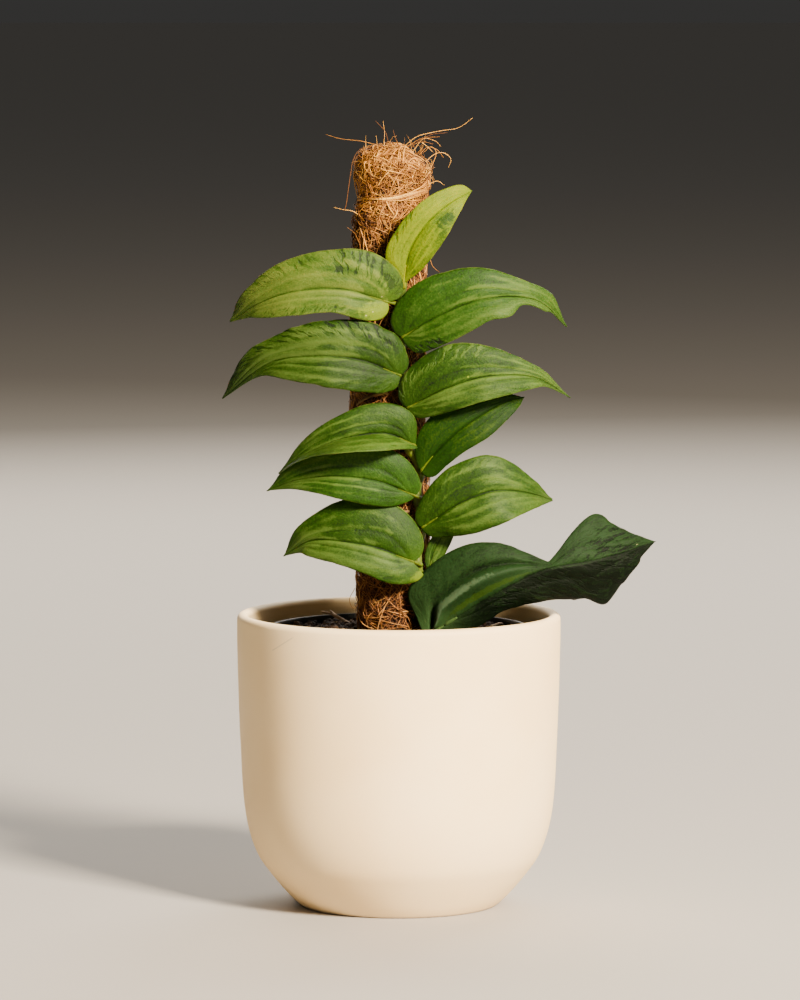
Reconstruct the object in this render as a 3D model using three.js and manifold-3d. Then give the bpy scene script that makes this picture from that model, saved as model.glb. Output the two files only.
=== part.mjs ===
import * as THREE from "three";
import { mergeVertices } from "three/addons/utils/BufferGeometryUtils.js";
import Module from "manifold-3d";

const wasm = await Module();
wasm.setup();

// A climbing aroid on a coir pole, in a black nursery pot inside a cream ceramic pot.
// Millimetres, +Z up. The origin is the middle of the ceramic pot's flat underside.
// The plant's leaves face -Y, and "left" and "right" are as seen from there.

const GAP = 0.35; // room between two pieces that touch

// Ceramic pot: outer wall as [radius, height], from the foot up to below the lip
const POT_OUTSIDE = [
  [44.5, 0], [46.2, 0.8], [51.6, 6], [59.4, 15.3], [65.3, 24.5],
  [69.6, 38.4], [71.7, 57], [73.3, 94], [74, 121],
];
const POT_HEIGHT = 134;
const POT_WALL = 5.3;
const POT_FLOOR = 8;
const POT_CORNER = [[3.5, 0.5], [8, 0]]; // inner corner: how far in from the wall, how far above the floor
const POT_STEPS = 15;
const POT_SIDES = 40;

// Nursery pot: a tapered 12 cm pot with a stepped-out band at its rim
const NURSERY_RIM_RADIUS = 60;
const NURSERY_BASE_RADIUS = 42;
const NURSERY_TOP = 127.6;
const NURSERY_BAND = 8.4; // height of the rim band
const NURSERY_BAND_STEP = 2.3; // how far the band stands out from the wall below it
const NURSERY_WALL = 1.4;
const NURSERY_FLOOR = 1.65;
const DRAIN_HOLES = 6;
const DRAIN_HOLE_RADIUS = 4;
const DRAIN_RING_RADIUS = 26;

// Soil: its top lies this far below the nursery pot's rim
const SOIL_DROP = 4.2;
const SOIL_SIDES = 36;

// Coir pole: its centre line as [x, z], bowed a little, with a wooden stake inside
const POLE_LINE = [[-2.1, 60], [-2.1, 128], [-3.9, 195], [-5.2, 232], [-4.6, 280], [-3.6, 312], [-3.6, 328]];
const POLE_RADIUS = 17.8;
const POLE_SIDES = 20;
const STAKE_RADIUS = 8;
const STAKE_FOOT = 14;
const POLE_HEAD_HEIGHT = 19;
// The head's rounded shoulders: how far in from the pole's radius, and how far below the head's top
const HEAD_SHOULDER = [[0.2, 7], [2, 2.4], [6, 0.4]];
const NECK_BELOW_HEAD = 3.6;
const NECK_STRAND_RADIUS = 1;

// Stem: where it passes over the front of the pole, as [x, z]
const STEM_RADIUS = 2.2;
const STEM_LINE = [
  [15.5, 112], [14.6, 128], [11.6, 147], [8.4, 159], [10.5, 175.5], [8.3, 190],
  [9.6, 201.5], [4, 213], [3.6, 230], [0.9, 244.5], [1.5, 262], [1.1, 278], [2, 289],
];

// Roots in the soil: each leaves the crown at a bearing, reaches out and goes down
const CROWN_RADIUS = 4.2;
const ROOT_RADIUS = 1.5;
const ROOT_BEND = [[0.45, 0.2], [0.8, 0.6]]; // between its ends: part of its reach, part of its drop
const SOIL_ROOTS = [
  { bearing: -100, reach: 20, drop: 46 },
  { bearing: -68, reach: 26, drop: 34 },
  { bearing: -40, reach: 20, drop: 60 },
  { bearing: -12, reach: 25, drop: 40 },
  { bearing: 18, reach: 21, drop: 52 },
];

// Aerial roots that hold the stem to the pole: height, and bearings round the pole from the front
const AERIAL_ROOT_RADIUS = 0.7;
const AERIAL_ROOTS = [
  { height: 152, from: 60, to: 112, drop: 9 },
  { height: 182, from: 26, to: -24, drop: 7 },
  { height: 207, from: 57, to: 108, drop: 8 },
  { height: 236, from: 1, to: -48, drop: 6 },
  { height: 268, from: 34, to: 88, drop: 8 },
];

// Leaves. Each blade is a fan of ribs that leave the midrib: the first ones point back past
// the stem, the last ones forward to the tip.
const BLADE_THICKNESS = 0.7;
const SHORTEST_RIB = 0.8;
const PETIOLE_RADIUS = 1.1;
const PETIOLE_RISE = 2; // the petiole leaves the stem this far below the blade
const PETIOLE_SHOULDER = 1; // it leaves the stem square, for this far
const PETIOLE_JOIN = 0.09; // where on the midrib it meets the blade's back, and how far behind it ends
const PETIOLE_BEHIND = 0.4;
const BLADE_STEPS = 13;
const BLADE_STRIPS = [-1, -0.62, -0.3, 0, 0.3, 0.62, 1];

// What most leaves share; a leaf in LEAVES may state its own
const LEAF_DEFAULTS = {
  backAngle: 152, // angle of the first rib from the midrib, in degrees
  frontAngle: 24, // angle of the last rib
  sweep: 1.5, // how soon the ribs turn forward
  gather: 1.4, // how close together the ribs leave the midrib near the stem
  ribBow: 0.18, // how far a rib bows back, as a part of its length
  rollAbove: [-22, -18, -12], // how far each half rises towards its face at the midrib
  curlAbove: [45, 42, 30], // and how far it bends back from there to the margin
  rollBelow: [-26, -24, -12],
  curlBelow: [40, 36, 30],
};
const FACE_LEFT = [[0, -1, -0.08], [-0.08, -1, 0.14], [-0.6, -1, 0.35]];
const FACE_RIGHT = [[0, -1, -0.08], [0.08, -1, 0.14], [0.6, -1, 0.35]];

// hand is -1 for a leaf that points left. midrib goes from the stem to the tip. face is the way
// the blade looks, from its base to its tip. above and below are the lengths of the ribs on
// either side of the midrib, from the first to the last.
const LEAVES = [
  {
    name: "leaf_newest", hand: 1, colour: 0xb4c42f,
    midrib: [[2, -23.7, 286.5], [5, -26.5, 301], [13, -28, 313.5], [23, -26, 322], [33, -21, 327.5]],
    face: [[0.1, -1, 0.05], [0.1, -1, 0.05], [0.2, -1, 0.05]],
    above: [0, 3, 10, 10, 10, 10, 8, 0],
    below: [0, 3.5, 8.5, 11.5, 12, 9.5, 5.5, 0],
  },
  {
    name: "leaf_left_1", hand: -1, colour: 0x93a552,
    midrib: [
      [-5.5, -27.5, 278], [-24, -33, 283.5], [-44.5, -32, 283], [-61.5, -25, 277.5], [-76, -13, 268.5],
    ],
    face: FACE_LEFT,
    above: [5, 15, 19.5, 18, 17, 15, 11, 0],
    below: [0, 10, 12, 11, 13, 12, 7, 0],
  },
  {
    name: "leaf_left_2", hand: -1, colour: 0x5d8328,
    midrib: [[0.5, -24, 244.5], [-16.5, -30, 251.5], [-36.5, -31, 253.5], [-59, -23, 249.5], [-80, -8, 233]],
    face: FACE_LEFT,
    above: [0, 10, 17, 18, 17.5, 15, 13.5, 0],
    below: [0, 9, 13, 15, 15, 12, 5, 0],
  },
  {
    name: "leaf_left_3", hand: -1, colour: 0x5a7f2a,
    midrib: [[7, -24.5, 213], [-6, -30, 218.5], [-24, -32, 216.5], [-41, -26, 209.5], [-54.5, -16, 199.5]],
    face: FACE_LEFT,
    above: [0, 5, 13, 14, 12, 10, 6, 0],
    below: [2, 4, 8, 14.5, 14, 9, 6, 0],
    rollBelow: [-60, -66, -60], // the lower half is folded up towards the face
    curlBelow: [20, 20, 20],
  },
  {
    name: "leaf_left_4", hand: -1, colour: 0x5f8a22,
    midrib: [[7, -23, 190], [-8.5, -28, 196.5], [-26.5, -28, 199], [-44.5, -22, 197], [-60, -12, 191]],
    face: FACE_LEFT,
    above: [0, 8, 14, 17, 17, 14, 8.5, 0],
    below: [0, 5, 10, 12, 11.5, 9, 5, 0],
  },
  {
    name: "leaf_left_5", hand: -1, colour: 0x668d2a,
    midrib: [[6, -24, 160], [-8.5, -27, 166], [-24.5, -26, 169], [-39.5, -20, 169], [-52.5, -10, 161]],
    face: [[0, -1, 0.12], [-0.08, -1, 0.14], [-0.6, -1, 0.35]],
    above: [0, 11, 19, 23, 20, 14, 9, 0],
    below: [8, 12, 14, 13, 12, 12, 6, 0],
  },
  {
    name: "leaf_right_1", hand: 1, colour: 0x648c1f,
    midrib: [[2, -24.5, 262], [17.5, -31, 271.5], [39, -33, 279.5], [61.5, -26, 278.5], [76, -13, 266]],
    face: FACE_RIGHT,
    above: [0, 10.5, 16.5, 18, 15.5, 10.5, 9, 0],
    below: [0, 5, 11, 12.5, 13, 13, 12, 12, 5.5, 6, 1, 0],
  },
  {
    name: "leaf_right_2", hand: 1, colour: 0x5c8420,
    midrib: [[4.5, -24, 230], [21.5, -31, 239], [41, -32, 244.5], [61.5, -25, 243.5], [78, -12, 233.5]],
    face: FACE_RIGHT,
    above: [0, 10.5, 16.5, 19, 15, 9.5, 5.5, 0],
    below: [0, 7.5, 10, 11, 12, 10, 4, 0],
  },
  {
    name: "leaf_right_3", hand: 1, colour: 0x527d1c,
    midrib: [[10.5, -21, 201.5], [20.5, -23.5, 213.5], [33, -24, 223.5], [46, -21, 231], [57, -15, 234]],
    face: [[0.1, -1, 0.15], [0.1, -1, 0.15], [0.3, -1, 0.15]],
    above: [0, 5, 11, 13.5, 11.5, 8, 5, 0],
    below: [0, 7, 8, 9.5, 12, 11, 7, 0],
  },
  {
    name: "leaf_right_4", hand: 1, colour: 0x668f2b,
    midrib: [[11, -22.5, 175.5], [25.5, -28, 185.5], [41, -29, 192], [56, -23, 191.5], [69.5, -12, 187]],
    face: FACE_RIGHT,
    above: [0, 8, 13, 17.5, 18, 13, 8, 0],
    below: [0, 7, 12, 16.5, 17.5, 14, 9, 0],
  },
  {
    name: "leaf_small", hand: 1, colour: 0x4c6e22,
    midrib: [
      [13.5, -18.5, 152.5], [15.5, -18.5, 162.5], [19, -18.5, 170], [23, -16.5, 174.5], [27, -13, 178],
    ],
    face: [[0.3, -1, 0.1], [0.3, -1, 0.1], [0.3, -1, 0.1]],
    above: [0, 1, 3, 4, 4, 3, 2, 0],
    below: [0, 2, 4, 5.5, 6, 5, 3, 0],
  },
  {
    name: "leaf_oldest", hand: 1, colour: 0x33472a, petioleRadius: 1.6, steps: 30,
    backAngle: 160, frontAngle: 30, gather: 1.25, ribBow: 0.05,
    midrib: [
      [17.5, -22, 128.5], [31.5, -25, 138], [48, -27, 148], [66.5, -25, 156.5],
      [86, -21, 159.5], [103, -15, 163.5], [117, -8, 167.5],
    ],
    face: [[0, -1, 0], [0, -1, 0.1], [0.1, -1, 0.25], [0.3, -1, 0.3]],
    above: [5.5, 10.5, 17, 26.5, 28, 28, 27, 22, 14, 5, 11, 25, 19.5, 14.5, 10, 5, 0],
    below: [0, 2.5, 6, 10, 10, 12, 17, 21, 29, 20, 12, 5.5, 0],
    rollAbove: [0, -20, -10, -10], curlAbove: [10, 45, 25, 25],
    rollBelow: [-20, 10, 20, 0], curlBelow: [30, 30, 40, 40],
  },
];

// Bits of bark on the soil: outline, where its first point lies, turn, lift of its far end
const BARK_THICKNESS = 1.5;
const FORK_OUTLINE = [
  [-1.4, 0], [1.6, 0], [1.4, 6], [6, 12], [4.6, 13.2], [0.4, 8.6], [-3.6, 13.6], [-5.2, 12.4], [-1.2, 6.4],
];
const SHARD_OUTLINE = [[0, 0], [9, 1], [10.5, 2.6], [8, 3.4], [1, 2.4]];
const BARK_CHIPS = [
  { name: "bark_fork", outline: FORK_OUTLINE, at: [-23, 37], turn: 62, lift: 24 },
  { name: "bark_chip_1", outline: SHARD_OUTLINE, at: [-17, 33], turn: -8, lift: 6 },
  { name: "bark_chip_2", outline: SHARD_OUTLINE, at: [31, 33], turn: 12, lift: 5 },
  { name: "bark_chip_3", outline: SHARD_OUTLINE, at: [43, 20], turn: 50, lift: 8 },
];

const degrees = THREE.MathUtils.degToRad;

// Merge a geometry's shared corners, drop its empty triangles and face it outwards
function closed(geometry) {
  const bare = geometry.clone();
  bare.deleteAttribute("normal");
  bare.deleteAttribute("uv");
  const merged = mergeVertices(bare, 1e-4);
  const place = merged.getAttribute("position");
  const kept = [];
  let volume = 0;
  const a = new THREE.Vector3();
  const b = new THREE.Vector3();
  const c = new THREE.Vector3();
  for (let i = 0; i < merged.index.count; i += 3) {
    const corners = [0, 1, 2].map((k) => merged.index.getX(i + k));
    if (new Set(corners).size === 3) {
      kept.push(...corners);
      a.fromBufferAttribute(place, corners[0]);
      b.fromBufferAttribute(place, corners[1]);
      c.fromBufferAttribute(place, corners[2]);
      volume += a.dot(b.cross(c));
    }
  }
  merged.setIndex(volume > 0 ? kept : kept.reverse());
  return merged;
}

// Boolean work is done on solids, and turned back into a geometry at the end
function solidOf(geometry) {
  const shape = closed(geometry);
  return new wasm.Manifold(new wasm.Mesh({
    numProp: 3,
    vertProperties: new Float32Array(shape.getAttribute("position").array),
    triVerts: new Uint32Array(shape.index.array),
  }));
}

function geometryOf(solid) {
  const mesh = solid.getMesh();
  const geometry = new THREE.BufferGeometry();
  geometry.setAttribute("position", new THREE.BufferAttribute(new Float32Array(mesh.vertProperties), 3));
  geometry.setIndex([...mesh.triVerts]);
  return geometry;
}

// A body of revolution about Z from [radius, height] points
function turned(profile, segments) {
  const points = profile.map(([radius, height]) => new THREE.Vector2(radius, height));
  const geometry = new THREE.LatheGeometry(points, segments);
  geometry.rotateX(Math.PI / 2);
  return geometry;
}

// A round rod, or a pipe when it has a bore, along a smooth line through points
function rod(points, radius, steps, sides, bore = 0) {
  const section = new THREE.Shape();
  section.absarc(0, 0, radius, 0, 2 * Math.PI);
  if (bore > 0) {
    const hole = new THREE.Path();
    hole.absarc(0, 0, bore, 0, 2 * Math.PI);
    section.holes.push(hole);
  }
  const path = new THREE.CatmullRomCurve3(points, false, "catmullrom", 0.5);
  // A full circle gets two points for each curve segment
  return new THREE.ExtrudeGeometry(section, { steps, curveSegments: sides / 2, extrudePath: path });
}

function cylinder(radius, low, high, x, y, sides) {
  const geometry = new THREE.CylinderGeometry(radius, radius, high - low, sides);
  geometry.rotateX(Math.PI / 2);
  geometry.translate(x, y, (low + high) / 2);
  return geometry;
}

// Ceramic pot: the inside follows the outside one wall further in, down to a thick floor
function ceramicPot() {
  const line = new THREE.SplineCurve(POT_OUTSIDE.map(([r, z]) => new THREE.Vector2(r, z)));
  const outside = [];
  const inside = [];
  for (let i = 0; i <= POT_STEPS; i += 1) {
    const point = line.getPoint(i / POT_STEPS);
    const ahead = line.getTangent(i / POT_STEPS);
    outside.push([point.x, point.y]);
    const inner = [point.x - ahead.y * POT_WALL, point.y + ahead.x * POT_WALL];
    if (inner[1] > POT_FLOOR + GAP) {
      inside.unshift(inner);
    }
  }
  const lip = [];
  const middle = POT_OUTSIDE.at(-1)[0] - POT_WALL / 2;
  for (let turn = 0; turn <= 180; turn += 30) {
    const x = middle + Math.cos(degrees(turn)) * POT_WALL / 2;
    const z = POT_HEIGHT - POT_WALL / 2 + Math.sin(degrees(turn)) * POT_WALL / 2;
    lip.push([x, z]);
  }
  const wallFoot = inside.at(-1)[0];
  const corner = POT_CORNER.map(([inwards, up]) => [wallFoot - inwards, POT_FLOOR + up]);
  return turned([[0, 0], ...outside, ...lip, ...inside, ...corner, [0, POT_FLOOR]], POT_SIDES);
}

// The nursery pot's inner wall from the rim down to its floor, shared with the soil
const nurseryFoot = POT_FLOOR + GAP;
const nurseryFloor = nurseryFoot + NURSERY_FLOOR;
const bandFoot = NURSERY_TOP - NURSERY_BAND;
const rimInside = NURSERY_RIM_RADIUS - NURSERY_WALL;
const wallInside = NURSERY_RIM_RADIUS - NURSERY_BAND_STEP - NURSERY_WALL;
const baseInside = NURSERY_BASE_RADIUS - NURSERY_WALL;

function nurseryPot() {
  const profile = [
    [0, nurseryFoot], [NURSERY_BASE_RADIUS - 1, nurseryFoot], [NURSERY_BASE_RADIUS, nurseryFoot + 1],
    [wallInside + NURSERY_WALL, bandFoot - 2], [NURSERY_RIM_RADIUS, bandFoot],
    [NURSERY_RIM_RADIUS, NURSERY_TOP - 0.5], [NURSERY_RIM_RADIUS - 0.5, NURSERY_TOP],
    [rimInside + 0.3, NURSERY_TOP], [rimInside, NURSERY_TOP - 0.4], [rimInside, bandFoot + 1.8],
    [wallInside, bandFoot - 0.6], [baseInside, nurseryFloor], [0, nurseryFloor],
  ];
  let pot = solidOf(turned(profile, POT_SIDES));
  for (let i = 0; i < DRAIN_HOLES; i += 1) {
    const bearing = 2 * Math.PI * i / DRAIN_HOLES;
    const x = Math.cos(bearing) * DRAIN_RING_RADIUS;
    const y = Math.sin(bearing) * DRAIN_RING_RADIUS;
    pot = pot.subtract(solidOf(cylinder(DRAIN_HOLE_RADIUS, nurseryFoot - 1, nurseryFloor + 1, x, y, 12)));
  }
  return geometryOf(pot);
}

const polePoints = POLE_LINE.map(([x, z]) => new THREE.Vector3(x, 0, z));
const poleCurve = new THREE.CatmullRomCurve3(polePoints, false, "catmullrom", 0.5);
const poleTop = POLE_LINE.at(-1);

// The point of a rising curve at a height, found by halving
function atHeight(curve, height) {
  let low = 0;
  let high = 1;
  while (high - low > 1e-7) {
    const middle = (low + high) / 2;
    if (curve.getPoint(middle).z < height) {
      low = middle;
    } else {
      high = middle;
    }
  }
  return curve.getPoint(low);
}

// A point on the front of the pole, a distance off its surface
function onPole(x, z, off) {
  const across = x - atHeight(poleCurve, z).x;
  const radius = POLE_RADIUS + GAP + off;
  return new THREE.Vector3(x, -Math.sqrt(radius * radius - across * across), z);
}

function polePipe(radius, bore) {
  return rod(polePoints, radius, 9, POLE_SIDES, bore);
}

function stakeRod(radius, foot) {
  const line = polePoints.map((point) => point.clone());
  line.unshift(new THREE.Vector3(POLE_LINE[0][0], 0, foot));
  line.at(-1).z -= GAP;
  return rod(line, radius, 10, 12);
}

function poleHead() {
  const foot = poleTop[1] + GAP;
  const top = foot + POLE_HEAD_HEIGHT;
  const shoulder = HEAD_SHOULDER.map(([inwards, below]) => [POLE_RADIUS - inwards, top - below]);
  const profile = [[0, foot], [POLE_RADIUS - 1, foot], [POLE_RADIUS, foot + 3], ...shoulder, [0, top]];
  const geometry = turned(profile, POLE_SIDES);
  geometry.translate(poleTop[0], 0, 0);
  return geometry;
}

function neckStrand() {
  const radius = POLE_RADIUS + GAP + NECK_STRAND_RADIUS;
  const geometry = new THREE.TorusGeometry(radius, NECK_STRAND_RADIUS, 6, POLE_SIDES);
  geometry.translate(poleTop[0], 0, poleTop[1] - NECK_BELOW_HEAD);
  return geometry;
}

const stemPoints = STEM_LINE.map(([x, z]) => onPole(x, z, STEM_RADIUS));
const stemCurve = new THREE.CatmullRomCurve3(stemPoints, false, "catmullrom", 0.5);

function stemRod(radius) {
  return rod(stemPoints, radius, 32, 8);
}

// Straight out from the pole's centre line, level
function outward(point) {
  return new THREE.Vector3(point.x - atHeight(poleCurve, point.z).x, point.y, 0).normalize();
}

// The crown below the stem with its roots; grow makes the wider shape that the soil is cut by
function rootSystem(grow) {
  const [x, z] = STEM_LINE[0];
  const crown = onPole(x, z, CROWN_RADIUS);
  crown.add(outward(crown)).setZ(z - CROWN_RADIUS - GAP);
  const knob = new THREE.SphereGeometry(CROWN_RADIUS + grow, 10, 8);
  knob.rotateX(Math.PI / 2);
  knob.translate(crown.x, crown.y, crown.z);
  let roots = solidOf(knob);
  for (const { bearing, reach, drop } of SOIL_ROOTS) {
    const out = new THREE.Vector3(Math.cos(degrees(bearing)), Math.sin(degrees(bearing)), 0);
    const place = (outwards, down) => crown.clone()
      .addScaledVector(out, outwards)
      .add(new THREE.Vector3(0, 0, -down));
    const bends = ROOT_BEND.map(([partOut, partDown]) => place(reach * partOut, drop * partDown));
    roots = roots.add(solidOf(rod([crown, ...bends, place(reach, drop + grow)], ROOT_RADIUS + grow, 8, 6)));
  }
  return roots;
}

const soilTop = NURSERY_TOP - SOIL_DROP;

function pottingSoil() {
  const foot = stemPoints[0];
  const joint = cylinder(STEM_RADIUS + GAP, foot.z - CROWN_RADIUS, foot.z + 1, foot.x, foot.y, 10);
  const profile = [
    [0, nurseryFloor + GAP], [baseInside - GAP, nurseryFloor + GAP], [wallInside - GAP, bandFoot - 0.6],
    [rimInside - GAP, bandFoot + 1.8], [rimInside - GAP, soilTop], [0, soilTop],
  ];
  return geometryOf(
    solidOf(turned(profile, SOIL_SIDES))
      .subtract(solidOf(polePipe(POLE_RADIUS + GAP, 0)))
      .subtract(solidOf(stakeRod(STAKE_RADIUS + GAP, STAKE_FOOT - GAP)))
      .subtract(solidOf(stemRod(STEM_RADIUS + GAP)))
      .subtract(solidOf(joint))
      .subtract(rootSystem(GAP)),
  );
}

function aerialRoot({ height, from, to, drop }) {
  const points = [];
  const steps = 4;
  const off = POLE_RADIUS + GAP + AERIAL_ROOT_RADIUS;
  for (let i = 0; i <= steps; i += 1) {
    const z = height - drop * (i / steps) ** 2;
    const bearing = degrees(from + (to - from) * i / steps);
    const middle = atHeight(poleCurve, z).x;
    points.push(new THREE.Vector3(middle + Math.sin(bearing) * off, -Math.cos(bearing) * off, z));
  }
  return rod(points, AERIAL_ROOT_RADIUS, 8, 6);
}

// A value, or a vector, along an evenly spaced list, by the same smooth rule as the curves
function along(list, t) {
  const asVector = (v) => (Array.isArray(v) ? new THREE.Vector3(...v) : new THREE.Vector3(v, 0, 0));
  const curve = new THREE.CatmullRomCurve3(list.map(asVector), false, "catmullrom", 0.5);
  return curve.getPoint(t);
}

// Where a rib leaves the midrib, with the midrib's direction, the blade's face and its upward side
function ribFrame(leaf, u) {
  const t = u ** leaf.gather;
  const root = along(leaf.midrib, t);
  const ahead = along(leaf.midrib, Math.min(t + 1e-3, 1));
  const forward = ahead.sub(along(leaf.midrib, Math.max(t - 1e-3, 0))).normalize();
  const face = along(leaf.face, t);
  face.addScaledVector(forward, -face.dot(forward)).normalize();
  const side = new THREE.Vector3().crossVectors(face, forward).multiplyScalar(leaf.hand);
  return { root, forward, face, side };
}

// A point of the blade: u chooses the rib, from the first (0) to the last (1), and s goes from the
// lower margin (-1) over the midrib (0) to the upper margin (1). A rib lies in a plane turned from
// the midrib by its angle, and in that plane it is an arc that starts at roll and turns by curl.
function bladePoint(leaf, u, s) {
  const { root, forward, face, side } = ribFrame(leaf, u);
  const upper = s >= 0;
  const r = Math.abs(s);
  const length = Math.max(along(upper ? leaf.above : leaf.below, u).x, SHORTEST_RIB);
  const roll = degrees(along(upper ? leaf.rollAbove : leaf.rollBelow, u).x);
  const curl = degrees(along(upper ? leaf.curlAbove : leaf.curlBelow, u).x);
  const angle = degrees(leaf.frontAngle + (leaf.backAngle - leaf.frontAngle) * (1 - u) ** leaf.sweep);
  const reach = length * (Math.sin(roll + curl * r) - Math.sin(roll)) / curl;
  const rise = length * (Math.cos(roll + curl * r) - Math.cos(roll)) / curl;
  const bow = leaf.ribBow * length * r * (r - 1);
  return root
    .addScaledVector(side, Math.sin(angle) * reach * (upper ? 1 : -1))
    .addScaledVector(face, Math.sin(angle) * rise)
    .addScaledVector(forward, Math.cos(angle) * length * r + Math.sin(angle) * bow);
}

// The blade as a closed sheet: one grid of points on its face, one on its back, joined all round
function blade(leaf) {
  const columns = BLADE_STRIPS.length;
  const rows = (leaf.steps ?? BLADE_STEPS) + 1;
  const places = [];
  for (const half of [0.5, -0.5]) {
    for (let i = 0; i < rows; i += 1) {
      const u = i / (rows - 1);
      const { face } = ribFrame(leaf, u);
      for (const s of BLADE_STRIPS) {
        const point = bladePoint(leaf, u, s).addScaledVector(face, half * BLADE_THICKNESS);
        places.push(...point);
      }
    }
  }
  const at = (layer, i, j) => layer * rows * columns + i * columns + j;
  const triangles = [];
  const quad = (a, b, c, d) => triangles.push(a, b, c, a, c, d);
  for (let i = 0; i < rows - 1; i += 1) {
    for (let j = 0; j < columns - 1; j += 1) {
      quad(at(0, i, j), at(0, i + 1, j), at(0, i + 1, j + 1), at(0, i, j + 1));
      quad(at(1, i, j), at(1, i, j + 1), at(1, i + 1, j + 1), at(1, i + 1, j));
    }
    const last = columns - 1;
    quad(at(0, i, 0), at(1, i, 0), at(1, i + 1, 0), at(0, i + 1, 0));
    quad(at(0, i, last), at(0, i + 1, last), at(1, i + 1, last), at(1, i, last));
  }
  for (let j = 0; j < columns - 1; j += 1) {
    const last = rows - 1;
    quad(at(0, 0, j), at(0, 0, j + 1), at(1, 0, j + 1), at(1, 0, j));
    quad(at(0, last, j), at(1, last, j), at(1, last, j + 1), at(0, last, j + 1));
  }
  const geometry = new THREE.BufferGeometry();
  geometry.setAttribute("position", new THREE.Float32BufferAttribute(places, 3));
  geometry.setIndex(triangles);
  return geometry;
}

// A whole leaf: its blade, and the petiole that carries it from the stem to the blade's back
function leafShape(leaf) {
  const node = atHeight(stemCurve, leaf.midrib[0][2] - PETIOLE_RISE);
  const out = outward(node);
  const start = node.clone().addScaledVector(out, STEM_RADIUS + GAP);
  const base = ribFrame(leaf, PETIOLE_JOIN);
  const end = base.root.clone().addScaledVector(base.face, -PETIOLE_BEHIND);
  const shoulder = start.clone().addScaledVector(out, PETIOLE_SHOULDER);
  const petiole = rod([start, shoulder, end], leaf.petioleRadius ?? PETIOLE_RADIUS, 5, 6);
  return geometryOf(solidOf(blade(leaf)).add(solidOf(petiole)));
}

function barkChip({ outline, at, turn, lift }) {
  const shape = new THREE.Shape(outline.map(([x, y]) => new THREE.Vector2(x, y)));
  const geometry = new THREE.ExtrudeGeometry(shape, { depth: BARK_THICKNESS, bevelEnabled: false });
  geometry.rotateX(degrees(lift));
  geometry.rotateZ(degrees(turn));
  geometry.computeBoundingBox();
  geometry.translate(at[0], at[1], soilTop + GAP - geometry.boundingBox.min.z);
  return geometry;
}

const plant = new THREE.Group();

function add(name, geometry, color, roughness) {
  const material = new THREE.MeshStandardMaterial({ color, roughness, metalness: 0 });
  const mesh = new THREE.Mesh(closed(geometry), material);
  mesh.name = name;
  plant.add(mesh);
}

add("cover_pot", ceramicPot(), 0xf3e6d2, 0.6);
add("nursery_pot", nurseryPot(), 0x1b1c1a, 0.5);
add("potting_soil", pottingSoil(), 0x3b2a1d, 0.95);
add("pole_stake", stakeRod(STAKE_RADIUS, STAKE_FOOT), 0xa98a5c, 0.8);
add("coir_pole", polePipe(POLE_RADIUS, STAKE_RADIUS + GAP), 0x8f5f34, 0.95);
add("coir_pole_head", poleHead(), 0xa8763f, 0.95);
add("neck_strand", neckStrand(), 0xe0bd86, 0.8);
add("stem", stemRod(STEM_RADIUS), 0xa9b84a, 0.5);
add("soil_roots", geometryOf(rootSystem(0)), 0xd8c9a4, 0.8);
AERIAL_ROOTS.forEach((root, i) => add(`aerial_root_${i + 1}`, aerialRoot(root), 0x8c7446, 0.8));
LEAVES.forEach((leaf) => add(leaf.name, leafShape({ ...LEAF_DEFAULTS, ...leaf }), leaf.colour, 0.4));
BARK_CHIPS.forEach((chip) => add(chip.name, barkChip(chip), 0xb08d68, 0.9));

export default plant;
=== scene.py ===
"""A young shingle-leaved climber on a coir pole, in a black nursery pot inside a cream ceramic pot.

Sizes are in millimetres, as a maker would measure them, and become metres when a mesh is made.
The leaves face -Y; left and right are as seen from there.
"""
import logging
import math
from dataclasses import dataclass, field
from enum import Enum
from typing import Any, Optional, Sequence, Union

import bpy
import numpy as np
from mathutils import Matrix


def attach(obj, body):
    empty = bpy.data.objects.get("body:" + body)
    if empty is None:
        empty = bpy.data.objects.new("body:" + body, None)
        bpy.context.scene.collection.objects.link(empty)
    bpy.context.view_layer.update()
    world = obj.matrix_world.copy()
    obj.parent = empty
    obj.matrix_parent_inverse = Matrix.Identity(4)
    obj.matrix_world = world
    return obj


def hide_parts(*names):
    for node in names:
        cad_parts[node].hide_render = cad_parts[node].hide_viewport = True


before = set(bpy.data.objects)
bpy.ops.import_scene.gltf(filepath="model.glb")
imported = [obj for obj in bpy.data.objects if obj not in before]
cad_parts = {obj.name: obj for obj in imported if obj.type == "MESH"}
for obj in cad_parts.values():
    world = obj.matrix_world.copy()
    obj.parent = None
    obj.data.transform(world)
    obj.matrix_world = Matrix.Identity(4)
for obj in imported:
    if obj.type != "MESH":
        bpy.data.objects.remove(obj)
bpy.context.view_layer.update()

MM = 0.001
TURN = 2 * math.pi
REPEAT = 64
Array = np.ndarray
Colour = tuple[float, float, float, float]
Material = bpy.types.Material
Piece = bpy.types.Object
log = logging.getLogger("plant")


# Numbers along lines and over surfaces


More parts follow.
